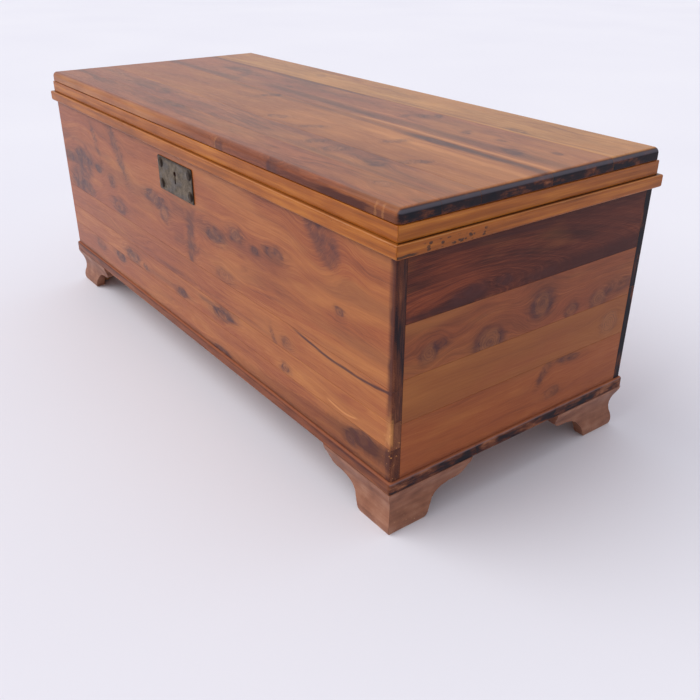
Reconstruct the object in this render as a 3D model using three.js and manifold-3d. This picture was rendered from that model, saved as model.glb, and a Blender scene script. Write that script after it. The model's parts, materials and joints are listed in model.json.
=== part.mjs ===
// A lidded cedar blanket chest: edge-glued board walls on a projecting base slab, ogee bracket feet,
// a light hardwood band round the case and a matching apron under the lid slab. The lid turns on two
// butt hinges let into the back, a slotted arm stays it open, and a chest lock shuts it at the front.
//
// Millimetres, +Z up. +X runs along the chest to the right of someone facing its front, the front looks
// along -Y, and the origin is the middle of the footprint on the floor.

import * as THREE from "three";
import { mergeVertices } from "three/addons/utils/BufferGeometryUtils.js";
import Module from "manifold-3d";

const wasm = await Module();
wasm.setup();

// ---- Driving dimensions -------------------------------------------------------------------------

const CASE_LENGTH = 1150;
const CASE_DEPTH = 489;
const WALL = 16; // thickness of the case boards
const FOOT_HEIGHT = 75;
const BASE_THICKNESS = 18;
const CASE_HEIGHT = 340; // walls alone, from the base slab to the rim
const PARTING_GAP = 0.5; // between the rim and the closed lid's apron
const APRON_HEIGHT = 20;
const APRON_THICKNESS = 18;
const LID_THICKNESS = 19;

const LID_OVERHANG = 1; // past the case walls
const APRON_OVERHANG = 1.6;
const BASE_OVERHANG = 4;
const BAND_PROJECTION = 8;
const BAND_HEIGHT = 19;

const BASE_EDGE_RADII = [2, 4]; // below and above
const LID_EDGE_RADII = [2.5, 9];
const BAND_EDGE_RADII = [4, 2.5];

const GLUE_GAP = 0.3; // hairline left at each glued joint
const OVERLAP = 1; // how far cutters reach past a face, and joined bodies reach into each other
const LID_OPENS = 100; // degrees, the length of the stay's slot allows no more

// Widths of the boards in each edge-glued panel. The last board of a list takes what is left.
const FRONT_WIDTHS = [199, 48, 41.5]; // from the rim down
const BACK_WIDTHS = [176];
const RIGHT_END_WIDTHS = [109.5, 77.5, 66];
const LEFT_END_WIDTHS = [121, 102];
const LID_WIDTHS = [65.5, 64.5, 129, 124.5]; // from the front edge back
const BASE_WIDTHS = [160, 173];

// ---- Places that follow from them ---------------------------------------------------------------

const HALF_LENGTH = CASE_LENGTH / 2;
const HALF_DEPTH = CASE_DEPTH / 2;
const BASE_TOP = FOOT_HEIGHT + BASE_THICKNESS;
const RIM = BASE_TOP + CASE_HEIGHT;
const APRON_BOTTOM = RIM + PARTING_GAP;
const APRON_TOP = APRON_BOTTOM + APRON_HEIGHT;
const LID_TOP = APRON_TOP + GLUE_GAP + LID_THICKNESS;
const CASE_FRONT = -HALF_DEPTH;
const INNER_FRONT = CASE_FRONT + WALL;
const INNER_END = HALF_LENGTH - WALL;

// ---- Materials ----------------------------------------------------------------------------------

function finish(color, roughness, metalness = 0) {
  return new THREE.MeshStandardMaterial({ color, roughness, metalness });
}

const CEDAR = finish(0xa05a38, 0.38);
const LIGHT_WOOD = finish(0xb5773f, 0.42);
const FOOT_WOOD = finish(0x8d5b41, 0.55);
const HIDDEN_WOOD = finish(0xb98a62, 0.8);
const AGED_BRASS = finish(0x6f6a55, 0.5, 0.8);
const DARK_BRASS = finish(0x3a2d22, 0.5, 0.7);
const STEEL = finish(0x8a8780, 0.4, 0.9);

// ---- Solids -------------------------------------------------------------------------------------

// A closed geometry as a manifold solid, so that it can be cut or joined.
function solid(geometry) {
  const bare = geometry.index ? geometry.toNonIndexed() : geometry.clone();
  bare.deleteAttribute("normal");
  bare.deleteAttribute("uv");
  const merged = mergeVertices(bare, 1e-4);
  return new wasm.Manifold(
    new wasm.Mesh({
      numProp: 3,
      vertProperties: merged.attributes.position.array,
      triVerts: new Uint32Array(merged.index.array),
    }),
  );
}

// A manifold solid as a named mesh.
function part(name, body, material) {
  const shape = body.getMesh();
  const positions = new Float32Array(shape.numVert * 3);
  for (let i = 0; i < shape.numVert; i++) {
    const start = i * shape.numProp;
    positions.set(shape.vertProperties.subarray(start, start + 3), i * 3);
  }
  const geometry = new THREE.BufferGeometry();
  geometry.setAttribute("position", new THREE.BufferAttribute(positions, 3));
  geometry.setIndex(new THREE.BufferAttribute(new Uint32Array(shape.triVerts), 1));
  geometry.computeVertexNormals();
  const mesh = new THREE.Mesh(geometry, material);
  mesh.name = name;
  return mesh;
}

// A block between two corners.
function block(low, high) {
  const size = high.map((value, i) => value - low[i]);
  const geometry = new THREE.BoxGeometry(...size);
  geometry.translate(...low.map((value, i) => value + size[i] / 2));
  return solid(geometry);
}

// An outline in (x, y), made solid from z = low to z = high.
function prism(outline, low, high, curveSegments = 6) {
  const options = { depth: high - low, bevelEnabled: false, curveSegments };
  const geometry = new THREE.ExtrudeGeometry(outline, options);
  geometry.translate(0, 0, low);
  return solid(geometry);
}

// A section in (w, z), swept along x from low to high, with w along y.
function moulding(section, low, high, curveSegments = 6) {
  const options = { depth: high - low, bevelEnabled: false, curveSegments };
  const geometry = new THREE.ExtrudeGeometry(section, options);
  geometry.rotateX(Math.PI / 2);
  geometry.rotateZ(Math.PI / 2);
  geometry.translate(low, 0, 0);
  return solid(geometry);
}

// An outline in (x, z), swept along y from low to high.
function fretwork(outline, low, high, curveSegments = 6) {
  const options = { depth: high - low, bevelEnabled: false, curveSegments };
  const geometry = new THREE.ExtrudeGeometry(outline, options);
  geometry.rotateX(Math.PI / 2);
  geometry.translate(0, high, 0);
  return solid(geometry);
}

// A round bar along x ("x"), y ("y") or z ("z"), centred on a point.
function bar(radius, length, axis, centre, sides = 20) {
  const geometry = new THREE.CylinderGeometry(radius, radius, length, sides);
  if (axis === "x") geometry.rotateZ(Math.PI / 2);
  if (axis === "z") geometry.rotateX(Math.PI / 2);
  geometry.translate(...centre);
  return solid(geometry);
}

// A rectangle whose four corners have their own radii, given anticlockwise from the low corner.
function roundedRectangle(left, low, right, high, radii) {
  const [a, b, c, d] = radii;
  const quarter = Math.PI / 2;
  const shape = new THREE.Shape();
  shape.moveTo(left + a, low);
  shape.lineTo(right - b, low);
  if (b) shape.absarc(right - b, low + b, b, -quarter, 0);
  shape.lineTo(right, high - c);
  if (c) shape.absarc(right - c, high - c, c, 0, quarter);
  shape.lineTo(left + d, high);
  if (d) shape.absarc(left + d, high - d, d, quarter, 2 * quarter);
  shape.lineTo(left, low + a);
  if (a) shape.absarc(left + a, low + a, a, 2 * quarter, 3 * quarter);
  return shape;
}

function polygon(points) {
  return new THREE.Shape(points.map(([x, y]) => new THREE.Vector2(x, y)));
}

// Where the boards of a panel start and end, from low to high, with a hairline between neighbours.
function boardSpans(low, high, widths) {
  const joints = widths.reduce((made, width) => [...made, made.at(-1) + width], [low]);
  const edges = [...joints, high];
  return edges.slice(0, -1).map((edge, i) => [
    edge + (i === 0 ? 0 : GLUE_GAP / 2),
    edges[i + 1] - (i === edges.length - 2 ? 0 : GLUE_GAP / 2),
  ]);
}

// The same, counted from the top down.
function boardSpansDown(high, low, widths) {
  return boardSpans(-high, -low, widths).map(([a, b]) => [-b, -a]);
}

// ---- Hinge, stay and lock places, shared by the wood that is cut for them --------------------------

const HINGE_X = 380;
const HINGE_WIDTH = 64;
const LEAF_THICKNESS = 1.6;
const LEAF_DEPTH = 22;
const KNUCKLE_RADIUS = 3;
const PIN_RADIUS = 1.5;
const PIN_CLEARANCE = 0.25;
const BARREL_CLEARANCE = 0.6; // round the knuckles, in the hollow cut for them
const MIDDLE_KNUCKLE = 22; // length of the lid leaf's one knuckle
const HINGE_CLEARANCE = 0.3;
const PIVOT = { y: HALF_DEPTH + 4.8, z: RIM + PARTING_GAP / 2 };

const LOCK_X = -8; // the lock sits a little to the left of the middle
const LOCK_WIDTH = 66;
const LOCK_HEIGHT = 80;
const LOCK_DEPTH = 11;
const LOCK_METAL = 1.5;
const KEYHOLE = { z: 374, eyeRadius: 4.5, eyeRise: 6.5, slotHalfWidth: 2, slotDrop: 11 };
const LUG_SPACING = 30;
const LUG_WIDTH = 8;
const LUG_DEPTH = 2;
const LUG_CLEARANCE = 1;
const BOLT_TRAVEL = 6;

const STAY_REACH = 160; // from the hinge axis to the stay's stud and to its pivot alike
const STAY_PIVOT_RISE = 10; // pivot on the lid, above the hinge axis
const STAY_STUD_DROP = 28; // stud on the end wall, below the hinge axis
const STAY_X = INNER_END - 4;
const STAY_THICKNESS = 2;
const STAY_ARM_RADIUS = 7; // of its round ends
const STAY_SLOT_RADIUS = 3;
const STUD = { radius: 2, shoulder: 5, head: 4.5, headThickness: 2, clearance: 0.4 };

// A keyhole: a round eye with a narrower slot hanging from it.
function keyhole(low, high) {
  const { z, eyeRadius, eyeRise, slotHalfWidth, slotDrop } = KEYHOLE;
  const eye = bar(eyeRadius, high - low, "y", [0, (low + high) / 2, z + eyeRise]);
  const slot = block([-slotHalfWidth, low, z - slotDrop], [slotHalfWidth, high, z + eyeRise]);
  return eye.add(slot);
}

// ---- Case ---------------------------------------------------------------------------------------

const CORNER_EASING = 4;

// One board of the front (side -1) or the back (side 1): it laps the ends, and its outer corners are eased.
function longBoard(side, low, high) {
  const inner = HALF_DEPTH - WALL;
  const e = CORNER_EASING;
  const outline =
    side < 0
      ? roundedRectangle(-HALF_LENGTH, -HALF_DEPTH, HALF_LENGTH, -inner, [e, e, 0, 0])
      : roundedRectangle(-HALF_LENGTH, inner, HALF_LENGTH, HALF_DEPTH, [0, 0, e, e]);
  return prism(outline, low, high, 4);
}

// The pocket behind the lock, its selvage's seat in the rim, and the keyhole through to the front.
function lockMortise() {
  const half = LOCK_WIDTH / 2 + HINGE_CLEARANCE;
  const depth = INNER_FRONT - LOCK_DEPTH - HINGE_CLEARANCE;
  const bottom = RIM - LOCK_HEIGHT - HINGE_CLEARANCE;
  const pocket = block([-half, depth, bottom], [half, INNER_FRONT + OVERLAP, RIM + OVERLAP]);
  return pocket.add(keyhole(CASE_FRONT - OVERLAP, depth + OVERLAP)).translate([LOCK_X, 0, 0]);
}

// Room in the rim for one hinge: the lower leaf's seat, and the hollow for the barrel behind it.
function hingeSeatInRim(x) {
  const half = HINGE_WIDTH / 2 + HINGE_CLEARANCE;
  const leafBottom = PIVOT.z - HINGE_CLEARANCE / 2 - LEAF_THICKNESS;
  const leafFront = HALF_DEPTH - LEAF_DEPTH;
  const seat = block(
    [x - half, leafFront - HINGE_CLEARANCE, leafBottom - HINGE_CLEARANCE],
    [x + half, HALF_DEPTH + BAND_PROJECTION + OVERLAP, RIM + OVERLAP],
  );
  const barrel = bar(KNUCKLE_RADIUS + BARREL_CLEARANCE, 2 * half, "x", [x, PIVOT.y, PIVOT.z]);
  return seat.add(barrel);
}

function hingeSeatInApron(x) {
  const half = HINGE_WIDTH / 2 + HINGE_CLEARANCE;
  const leafTop = PIVOT.z + HINGE_CLEARANCE / 2 + LEAF_THICKNESS;
  return block(
    [x - half, HALF_DEPTH - LEAF_DEPTH - HINGE_CLEARANCE, APRON_BOTTOM - OVERLAP],
    [x + half, HALF_DEPTH + BAND_PROJECTION, leafTop + HINGE_CLEARANCE],
  );
}

function cutForHinges(body, seat) {
  return body.subtract(seat(-HINGE_X)).subtract(seat(HINGE_X));
}

function caseWalls() {
  const group = new THREE.Group();
  const bottom = BASE_TOP + GLUE_GAP;
  boardSpansDown(RIM, bottom, FRONT_WIDTHS).forEach(([low, high], i) => {
    const board = longBoard(-1, low, high);
    group.add(part(`front_board_${i + 1}`, i === 0 ? board.subtract(lockMortise()) : board, CEDAR));
  });
  boardSpansDown(RIM, bottom, BACK_WIDTHS).forEach(([low, high], i) => {
    const board = longBoard(1, low, high);
    group.add(part(`back_board_${i + 1}`, i === 0 ? cutForHinges(board, hingeSeatInRim) : board, CEDAR));
  });
  const endDepth = HALF_DEPTH - WALL - GLUE_GAP;
  const ends = [
    ["right", INNER_END, HALF_LENGTH, RIGHT_END_WIDTHS],
    ["left", -HALF_LENGTH, -INNER_END, LEFT_END_WIDTHS],
  ];
  for (const [side, from, to, widths] of ends) {
    boardSpansDown(RIM, bottom, widths).forEach(([low, high], i) => {
      const board = block([from, -endDepth, low], [to, endDepth, high]);
      group.add(part(`${side}_end_board_${i + 1}`, board, CEDAR));
    });
  }
  return group;
}

// A slab with rounded edges all round, cut into boards across its depth.
function slabBoards(name, halfLength, halfDepth, low, high, radii, widths) {
  const [bottomRadius, topRadius] = radii;
  const corners = [bottomRadius, bottomRadius, topRadius, topRadius];
  const alongDepth = roundedRectangle(-halfDepth, low, halfDepth, high, corners);
  const alongLength = roundedRectangle(-halfLength, low, halfLength, high, corners);
  const slab = moulding(alongDepth, -halfLength, halfLength).intersect(
    fretwork(alongLength, -halfDepth, halfDepth),
  );
  const group = new THREE.Group();
  boardSpans(-halfDepth, halfDepth, widths).forEach(([front, back], i) => {
    const strip = block(
      [-halfLength - OVERLAP, front, low - OVERLAP],
      [halfLength + OVERLAP, back, high + OVERLAP],
    );
    group.add(part(`${name}_${i + 1}`, slab.intersect(strip), CEDAR));
  });
  return group;
}

function baseSlab() {
  const halfLength = HALF_LENGTH + BASE_OVERHANG;
  const halfDepth = HALF_DEPTH + BASE_OVERHANG;
  const radii = BASE_EDGE_RADII;
  return slabBoards("base_board", halfLength, halfDepth, FOOT_HEIGHT, BASE_TOP, radii, BASE_WIDTHS);
}

// ---- Mitred frames: the band round the case, and the lid's apron -----------------------------------

const SIDES = [
  ["front", 0],
  ["right", Math.PI / 2],
  ["back", Math.PI],
  ["left", -Math.PI / 2],
];

// Four mitred lengths of one section, drawn in (inward, z). Each is made as the front one, then turned.
function mitredFrame(name, halfLength, halfDepth, section, height, material, cuts = {}) {
  const group = new THREE.Group();
  const [low, high] = height;
  const thickness = section.getPoints().reduce((most, point) => Math.max(most, point.x), 0);
  for (const [side, turn] of SIDES) {
    const isLong = side === "front" || side === "back";
    const halfRun = isLong ? halfLength : halfDepth;
    const reach = isLong ? halfDepth : halfLength;
    const mitre = GLUE_GAP / 2;
    const plan = polygon([
      [-halfRun + mitre, 0],
      [halfRun - mitre, 0],
      [halfRun - mitre - thickness, thickness],
      [-halfRun + mitre + thickness, thickness],
    ]);
    let body = moulding(section, -halfRun, halfRun).intersect(prism(plan, low, high));
    if (cuts[side]) body = cuts[side](body, reach);
    const mesh = part(`${name}_${side}`, body, material);
    mesh.position.y = -reach;
    const turned = new THREE.Group();
    turned.rotation.z = turn;
    turned.add(mesh);
    group.add(turned);
  }
  return group;
}

// A cut that is given in the chest's own frame, brought to a back rail lying in its front-rail frame.
function cutBackRail(seat) {
  return (body, reach) => {
    const turned = (x) => seat(x).rotate([0, 0, 180]).translate([0, reach, 0]);
    return cutForHinges(body, turned);
  };
}

function caseBand() {
  const inner = BAND_PROJECTION - GLUE_GAP;
  const [bottomRadius, topRadius] = BAND_EDGE_RADII;
  const section = roundedRectangle(0, RIM - BAND_HEIGHT, inner, RIM, [bottomRadius, 0, 0, topRadius]);
  const cuts = { back: cutBackRail(hingeSeatInRim) };
  const halfLength = HALF_LENGTH + BAND_PROJECTION;
  const halfDepth = HALF_DEPTH + BAND_PROJECTION;
  const height = [RIM - BAND_HEIGHT, RIM];
  return mitredFrame("case_band", halfLength, halfDepth, section, height, LIGHT_WOOD, cuts);
}

// ---- Feet ---------------------------------------------------------------------------------------

const BRACKET_LENGTH = 156;
const BRACKET_THICKNESS = 24;
const TOE_LENGTH = 72;
const BLOCK = { size: 30, chamfer: 12, lift: 3 }; // the glue block stands clear of the floor

// The bracket's section, from its outer face inwards: an ogee that swells at the top, draws in to a
// waist, and swells again to the toe.
function ogeeSection(top) {
  const section = new THREE.Shape();
  section.moveTo(7, 0);
  section.bezierCurveTo(4, 6, 4.5, 16, 9, 28);
  section.bezierCurveTo(12.5, 42, 8.5, 54, 4.5, 62);
  section.quadraticCurveTo(0.8, 68, 0.4, top);
  section.lineTo(BRACKET_THICKNESS, top);
  section.lineTo(BRACKET_THICKNESS, 0);
  return section;
}

// The bracket seen from its outer face: the toe, a cove above it, a cusp, and a rounded lobe.
function scrollOutline(top) {
  const outline = new THREE.Shape();
  outline.moveTo(0, 0);
  outline.lineTo(TOE_LENGTH, 0);
  outline.quadraticCurveTo(77, 4, 78.5, 12);
  outline.bezierCurveTo(84, 24, 92, 40, 120, 43);
  outline.lineTo(136, 43.5);
  outline.bezierCurveTo(147, 44.5, 154, 53, BRACKET_LENGTH, top);
  outline.lineTo(0, top);
  return outline;
}

// One corner's two brackets and the block glued behind them, with the outer corner on the floor at
// the origin and the chest lying towards +x and +y.
function foot(name) {
  const group = new THREE.Group();
  const top = FOOT_HEIGHT - GLUE_GAP;
  const t = BRACKET_THICKNESS;
  const mitre = GLUE_GAP / 2;
  const blank = moulding(ogeeSection(top), 0, BRACKET_LENGTH, 5);
  const sawn = blank.intersect(fretwork(scrollOutline(top), -OVERLAP, t + OVERLAP, 5));
  const plan = polygon([
    [mitre, 0],
    [BRACKET_LENGTH, 0],
    [BRACKET_LENGTH, t],
    [t + mitre, t],
  ]);
  const bracket = sawn.intersect(prism(plan, 0, top));
  group.add(part(`${name}_long_bracket`, bracket, FOOT_WOOD));
  const across = part(`${name}_end_bracket`, bracket, FOOT_WOOD);
  across.rotation.z = Math.PI / 2;
  across.scale.y = -1;
  group.add(across);

  const near = t + GLUE_GAP;
  const far = near + BLOCK.size;
  const blockPlan = polygon([
    [near, near],
    [far, near],
    [far, far - BLOCK.chamfer],
    [far - BLOCK.chamfer, far],
    [near, far],
  ]);
  group.add(part(`${name}_block`, prism(blockPlan, BLOCK.lift, top), HIDDEN_WOOD));
  return group;
}

function feet() {
  const group = new THREE.Group();
  for (const [name, sideX, sideY] of [
    ["front_left_foot", -1, -1],
    ["front_right_foot", 1, -1],
    ["back_left_foot", -1, 1],
    ["back_right_foot", 1, 1],
  ]) {
    const corner = foot(name);
    corner.position.set(sideX * (HALF_LENGTH + BASE_OVERHANG), sideY * (HALF_DEPTH + BASE_OVERHANG), 0);
    corner.scale.set(-sideX, -sideY, 1);
    group.add(corner);
  }
  return group;
}

// ---- Lid ----------------------------------------------------------------------------------------

const CLEAT = { x: 330, width: 44, height: 13, length: 400 };

function lidSlab() {
  const halfLength = HALF_LENGTH + LID_OVERHANG;
  const halfDepth = HALF_DEPTH + LID_OVERHANG;
  const low = LID_TOP - LID_THICKNESS;
  return slabBoards("lid_board", halfLength, halfDepth, low, LID_TOP, LID_EDGE_RADII, LID_WIDTHS);
}

function strikeSeat() {
  const half = LOCK_WIDTH / 2 + HINGE_CLEARANCE;
  const seatTop = APRON_BOTTOM + LOCK_METAL + HINGE_CLEARANCE;
  const front = INNER_FRONT - LOCK_DEPTH - HINGE_CLEARANCE;
  const back = CASE_FRONT - APRON_OVERHANG + APRON_THICKNESS + OVERLAP;
  return block([-half, front, APRON_BOTTOM - OVERLAP], [half, back, seatTop]);
}

function lidApron() {
  const section = roundedRectangle(0, APRON_BOTTOM, APRON_THICKNESS, APRON_TOP, [0, 0, 0, 1]);
  const cuts = {
    back: cutBackRail(hingeSeatInApron),
    front: (body, reach) => body.subtract(strikeSeat().translate([LOCK_X, reach, 0])),
  };
  const halfLength = HALF_LENGTH + APRON_OVERHANG;
  const halfDepth = HALF_DEPTH + APRON_OVERHANG;
  const height = [APRON_BOTTOM, APRON_TOP];
  return mitredFrame("lid_apron", halfLength, halfDepth, section, height, LIGHT_WOOD, cuts);
}

// A batten across the lid's underside, with bevelled ends, that keeps the glued slab flat.
function cleat(name, x) {
  const half = CLEAT.length / 2;
  const outline = polygon([
    [-half, APRON_TOP],
    [-half + CLEAT.height, APRON_TOP - CLEAT.height],
    [half - CLEAT.height, APRON_TOP - CLEAT.height],
    [half, APRON_TOP],
  ]);
  return part(name, moulding(outline, x - CLEAT.width / 2, x + CLEAT.width / 2), HIDDEN_WOOD);
}

// ---- Butt hinges --------------------------------------------------------------------------------

// One leaf of a hinge: a plate with knuckles. z is the side of the parting it lies on, -1 or 1.
function hingeLeaf(name, x, side, knuckles) {
  const near = PIVOT.z + (side * HINGE_CLEARANCE) / 2;
  const far = near + side * LEAF_THICKNESS;
  const low = Math.min(near, far);
  const high = Math.max(near, far);
  const half = HINGE_WIDTH / 2;
  const plateBack = PIVOT.y - KNUCKLE_RADIUS - HINGE_CLEARANCE;
  let leaf = block([x - half, HALF_DEPTH - LEAF_DEPTH, low], [x + half, plateBack, high]);
  for (const [from, to] of knuckles) {
    const length = to - from;
    const centre = [x + (from + to) / 2, PIVOT.y, PIVOT.z];
    leaf = leaf.add(block([x + from, plateBack - OVERLAP, low], [x + to, PIVOT.y, high]));
    leaf = leaf.add(bar(KNUCKLE_RADIUS, length, "x", centre, 24));
  }
  const bore = PIN_RADIUS + PIN_CLEARANCE;
  leaf = leaf.subtract(bar(bore, HINGE_WIDTH + 2 * OVERLAP, "x", [x, PIVOT.y, PIVOT.z], 24));
  return part(name, leaf, STEEL);
}

function hingeParts(name, x) {
  const half = HINGE_WIDTH / 2;
  const middle = MIDDLE_KNUCKLE / 2;
  const gap = HINGE_CLEARANCE / 2;
  const outerKnuckles = [
    [-half, -middle - gap],
    [middle + gap, half],
  ];
  const pinCentre = [x, PIVOT.y, PIVOT.z];
  return {
    caseParts: [
      hingeLeaf(`${name}_case_leaf`, x, -1, outerKnuckles),
      part(`${name}_pin`, bar(PIN_RADIUS, HINGE_WIDTH, "x", pinCentre, 24), STEEL),
    ],
    lidParts: [hingeLeaf(`${name}_lid_leaf`, x, 1, [[-middle + gap, middle - gap]])],
  };
}

// ---- Stay ---------------------------------------------------------------------------------------

// The stud on the wall and the pivot on the lid stand equally far from the hinge axis, so the line
// between them turns by exactly half the lid's own angle, and the arm's slot always lies on the stud.
function stayPoint(rise) {
  const run = Math.sqrt(STAY_REACH ** 2 - rise ** 2);
  return new THREE.Vector2(PIVOT.y - run, PIVOT.z + rise);
}

const STAY_PIVOT = stayPoint(STAY_PIVOT_RISE);
const STAY_STUD = stayPoint(-STAY_STUD_DROP);

function staySpanAt(openDegrees) {
  const shut = Math.asin(STAY_PIVOT_RISE / STAY_REACH) + Math.asin(STAY_STUD_DROP / STAY_REACH);
  return 2 * STAY_REACH * Math.sin((shut + THREE.MathUtils.degToRad(openDegrees)) / 2);
}

// A round-ended strip from y = from to y = to in the arm's own frame, x across.
function stadium(from, to, radius) {
  const shape = new THREE.Shape();
  shape.absarc(0, to, radius, 0, Math.PI);
  shape.absarc(0, from, radius, Math.PI, 2 * Math.PI);
  return shape;
}

function stayArm() {
  const slotStart = staySpanAt(0) - 2 * STAY_SLOT_RADIUS;
  const slotEnd = staySpanAt(LID_OPENS) + 1;
  const outline = stadium(0, slotEnd + 6, STAY_ARM_RADIUS);
  let arm = prism(outline, -STAY_THICKNESS / 2, STAY_THICKNESS / 2);
  arm = arm.subtract(prism(stadium(slotStart, slotEnd, STAY_SLOT_RADIUS), -STAY_THICKNESS, STAY_THICKNESS));
  arm = arm.subtract(bar(STUD.radius + HINGE_CLEARANCE, 4 * STAY_THICKNESS, "z", [0, 0, 0]));
  const mesh = part("stay_arm", arm, STEEL);
  // The arm hangs in the plane x = STAY_X: its own y runs from the pivot to the stud, its z along x.
  const along = STAY_STUD.clone().sub(STAY_PIVOT).normalize();
  const basis = new THREE.Matrix4().makeBasis(
    new THREE.Vector3(0, along.y, -along.x),
    new THREE.Vector3(0, along.x, along.y),
    new THREE.Vector3(1, 0, 0),
  );
  mesh.setRotationFromMatrix(basis);
  mesh.position.set(STAY_X, STAY_PIVOT.x, STAY_PIVOT.y);
  return mesh;
}

// A shouldered stud standing on a wall's inner face at x = wallX, with a button head inside the arm.
function stayStud(name, at, wallX) {
  const armFace = STAY_X + STAY_THICKNESS / 2;
  const armBack = STAY_X - STAY_THICKNESS / 2;
  const shoulderEnd = armFace + STUD.clearance;
  const headStart = armBack - STUD.clearance;
  const along = (radius, from, to) => bar(radius, to - from, "x", [(from + to) / 2, at.x, at.y]);
  const stud = along(STUD.shoulder, shoulderEnd, wallX)
    .add(along(STUD.radius, headStart - OVERLAP, shoulderEnd + OVERLAP))
    .add(along(STUD.head, headStart - STUD.headThickness, headStart));
  return part(name, stud, STEEL);
}

// ---- Lock and escutcheon ------------------------------------------------------------------------

const ESCUTCHEON = { width: 127, height: 59, thickness: 1.6, centreZ: 372, cornerRadius: 3, seat: 0.2 };
const ESCUTCHEON_SCREW = { x: 52.8, z: 18, radius: 8.8, rise: 2.8, slotWidth: 1.4, slotDepth: 1 };

function escutcheon() {
  const { width, height, thickness, centreZ, cornerRadius } = ESCUTCHEON;
  const back = CASE_FRONT - ESCUTCHEON.seat;
  const halfWidth = width / 2;
  const low = centreZ - height / 2;
  const outline = roundedRectangle(-halfWidth, low, halfWidth, low + height, Array(4).fill(cornerRadius));
  const plate = fretwork(outline, back - thickness, back, 3);
  const hole = keyhole(back - thickness - OVERLAP, back + OVERLAP);
  return part("escutcheon", plate.subtract(hole), AGED_BRASS);
}

// A round-headed screw with a slotted dome, standing on the escutcheon's face.
function escutcheonScrew(name, x, z) {
  const { radius, rise, slotWidth, slotDepth } = ESCUTCHEON_SCREW;
  const face = CASE_FRONT - ESCUTCHEON.seat - ESCUTCHEON.thickness - 0.1;
  const profile = [new THREE.Vector2(0, 0), new THREE.Vector2(radius, 0)];
  const steps = 5;
  for (let i = 1; i <= steps; i++) {
    const angle = (i / steps) * (Math.PI / 2);
    profile.push(new THREE.Vector2(radius * Math.cos(angle), rise * Math.sin(angle)));
  }
  profile[profile.length - 1].x = 0;
  const dome = new THREE.LatheGeometry(profile, 20);
  dome.rotateX(Math.PI);
  dome.translate(x, face, z);
  const slotFloor = face - rise + slotDepth;
  const slotReach = radius + OVERLAP;
  const slot = block(
    [x - slotWidth / 2, face - rise - OVERLAP, z - slotReach],
    [x + slotWidth / 2, slotFloor, z + slotReach],
  );
  return part(name, solid(dome).subtract(slot), DARK_BRASS);
}

const LOCK_MID_Y = INNER_FRONT - LOCK_DEPTH / 2;
const LUGS = [-LUG_SPACING / 2, LUG_SPACING / 2];
const EYE_TOP = RIM - 6;
const EYE_HEIGHT = 6;
const LUG_TOE = 2.5; // metal left below the lug's eye
const LUG_SPINE = 1.5; // and beside it
const HOOK_THICKNESS = 3.5;
const HOOK_PLAY = 1.2; // between the hook's top and the eye's
const BOLT_THICKNESS = 3.2;
const BOLT_BAR_HEIGHT = 8;
const BOLT_BAR_DROP = 3; // from the lugs' toes down to the bar

// The lock's box, let into the back of the front board and open below, with a slot for each lug on top.
function lockCase() {
  const half = LOCK_WIDTH / 2;
  const front = INNER_FRONT - LOCK_DEPTH;
  const bottom = RIM - LOCK_HEIGHT;
  const inside = block(
    [-half + LOCK_METAL, front + LOCK_METAL, bottom - OVERLAP],
    [half - LOCK_METAL, INNER_FRONT - LOCK_METAL, RIM - LOCK_METAL],
  );
  let body = block([-half, front, bottom], [half, INNER_FRONT, RIM]).subtract(inside);
  const slotX = LUG_WIDTH / 2 + LUG_CLEARANCE;
  const slotY = LUG_DEPTH / 2 + LUG_CLEARANCE;
  for (const x of LUGS) {
    const low = [x - slotX, LOCK_MID_Y - slotY, RIM - LOCK_METAL - OVERLAP];
    body = body.subtract(block(low, [x + slotX, LOCK_MID_Y + slotY, RIM + OVERLAP]));
  }
  body = body.subtract(keyhole(front - OVERLAP, front + LOCK_METAL + OVERLAP));
  return part("lock_case", body, STEEL);
}

// The strike under the lid's front apron. Its two lugs drop into the lock, and each is open to the left.
function lockStrike() {
  const half = LOCK_WIDTH / 2;
  const plateTop = APRON_BOTTOM + LOCK_METAL;
  let strike = block([-half, INNER_FRONT - LOCK_DEPTH, APRON_BOTTOM], [half, INNER_FRONT, plateTop]);
  const lugX = LUG_WIDTH / 2;
  const lugY = LUG_DEPTH / 2;
  const eyeBottom = EYE_TOP - EYE_HEIGHT;
  for (const x of LUGS) {
    const lugLow = [x - lugX, LOCK_MID_Y - lugY, eyeBottom - LUG_TOE];
    const lug = block(lugLow, [x + lugX, LOCK_MID_Y + lugY, APRON_BOTTOM + OVERLAP]);
    const eyeLow = [x - lugX - OVERLAP, LOCK_MID_Y - lugY - OVERLAP, eyeBottom];
    const eye = block(eyeLow, [x + lugX - LUG_SPINE, LOCK_MID_Y + lugY + OVERLAP, EYE_TOP]);
    strike = strike.add(lug.subtract(eye));
  }
  return part("lock_strike", strike, STEEL);
}

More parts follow.
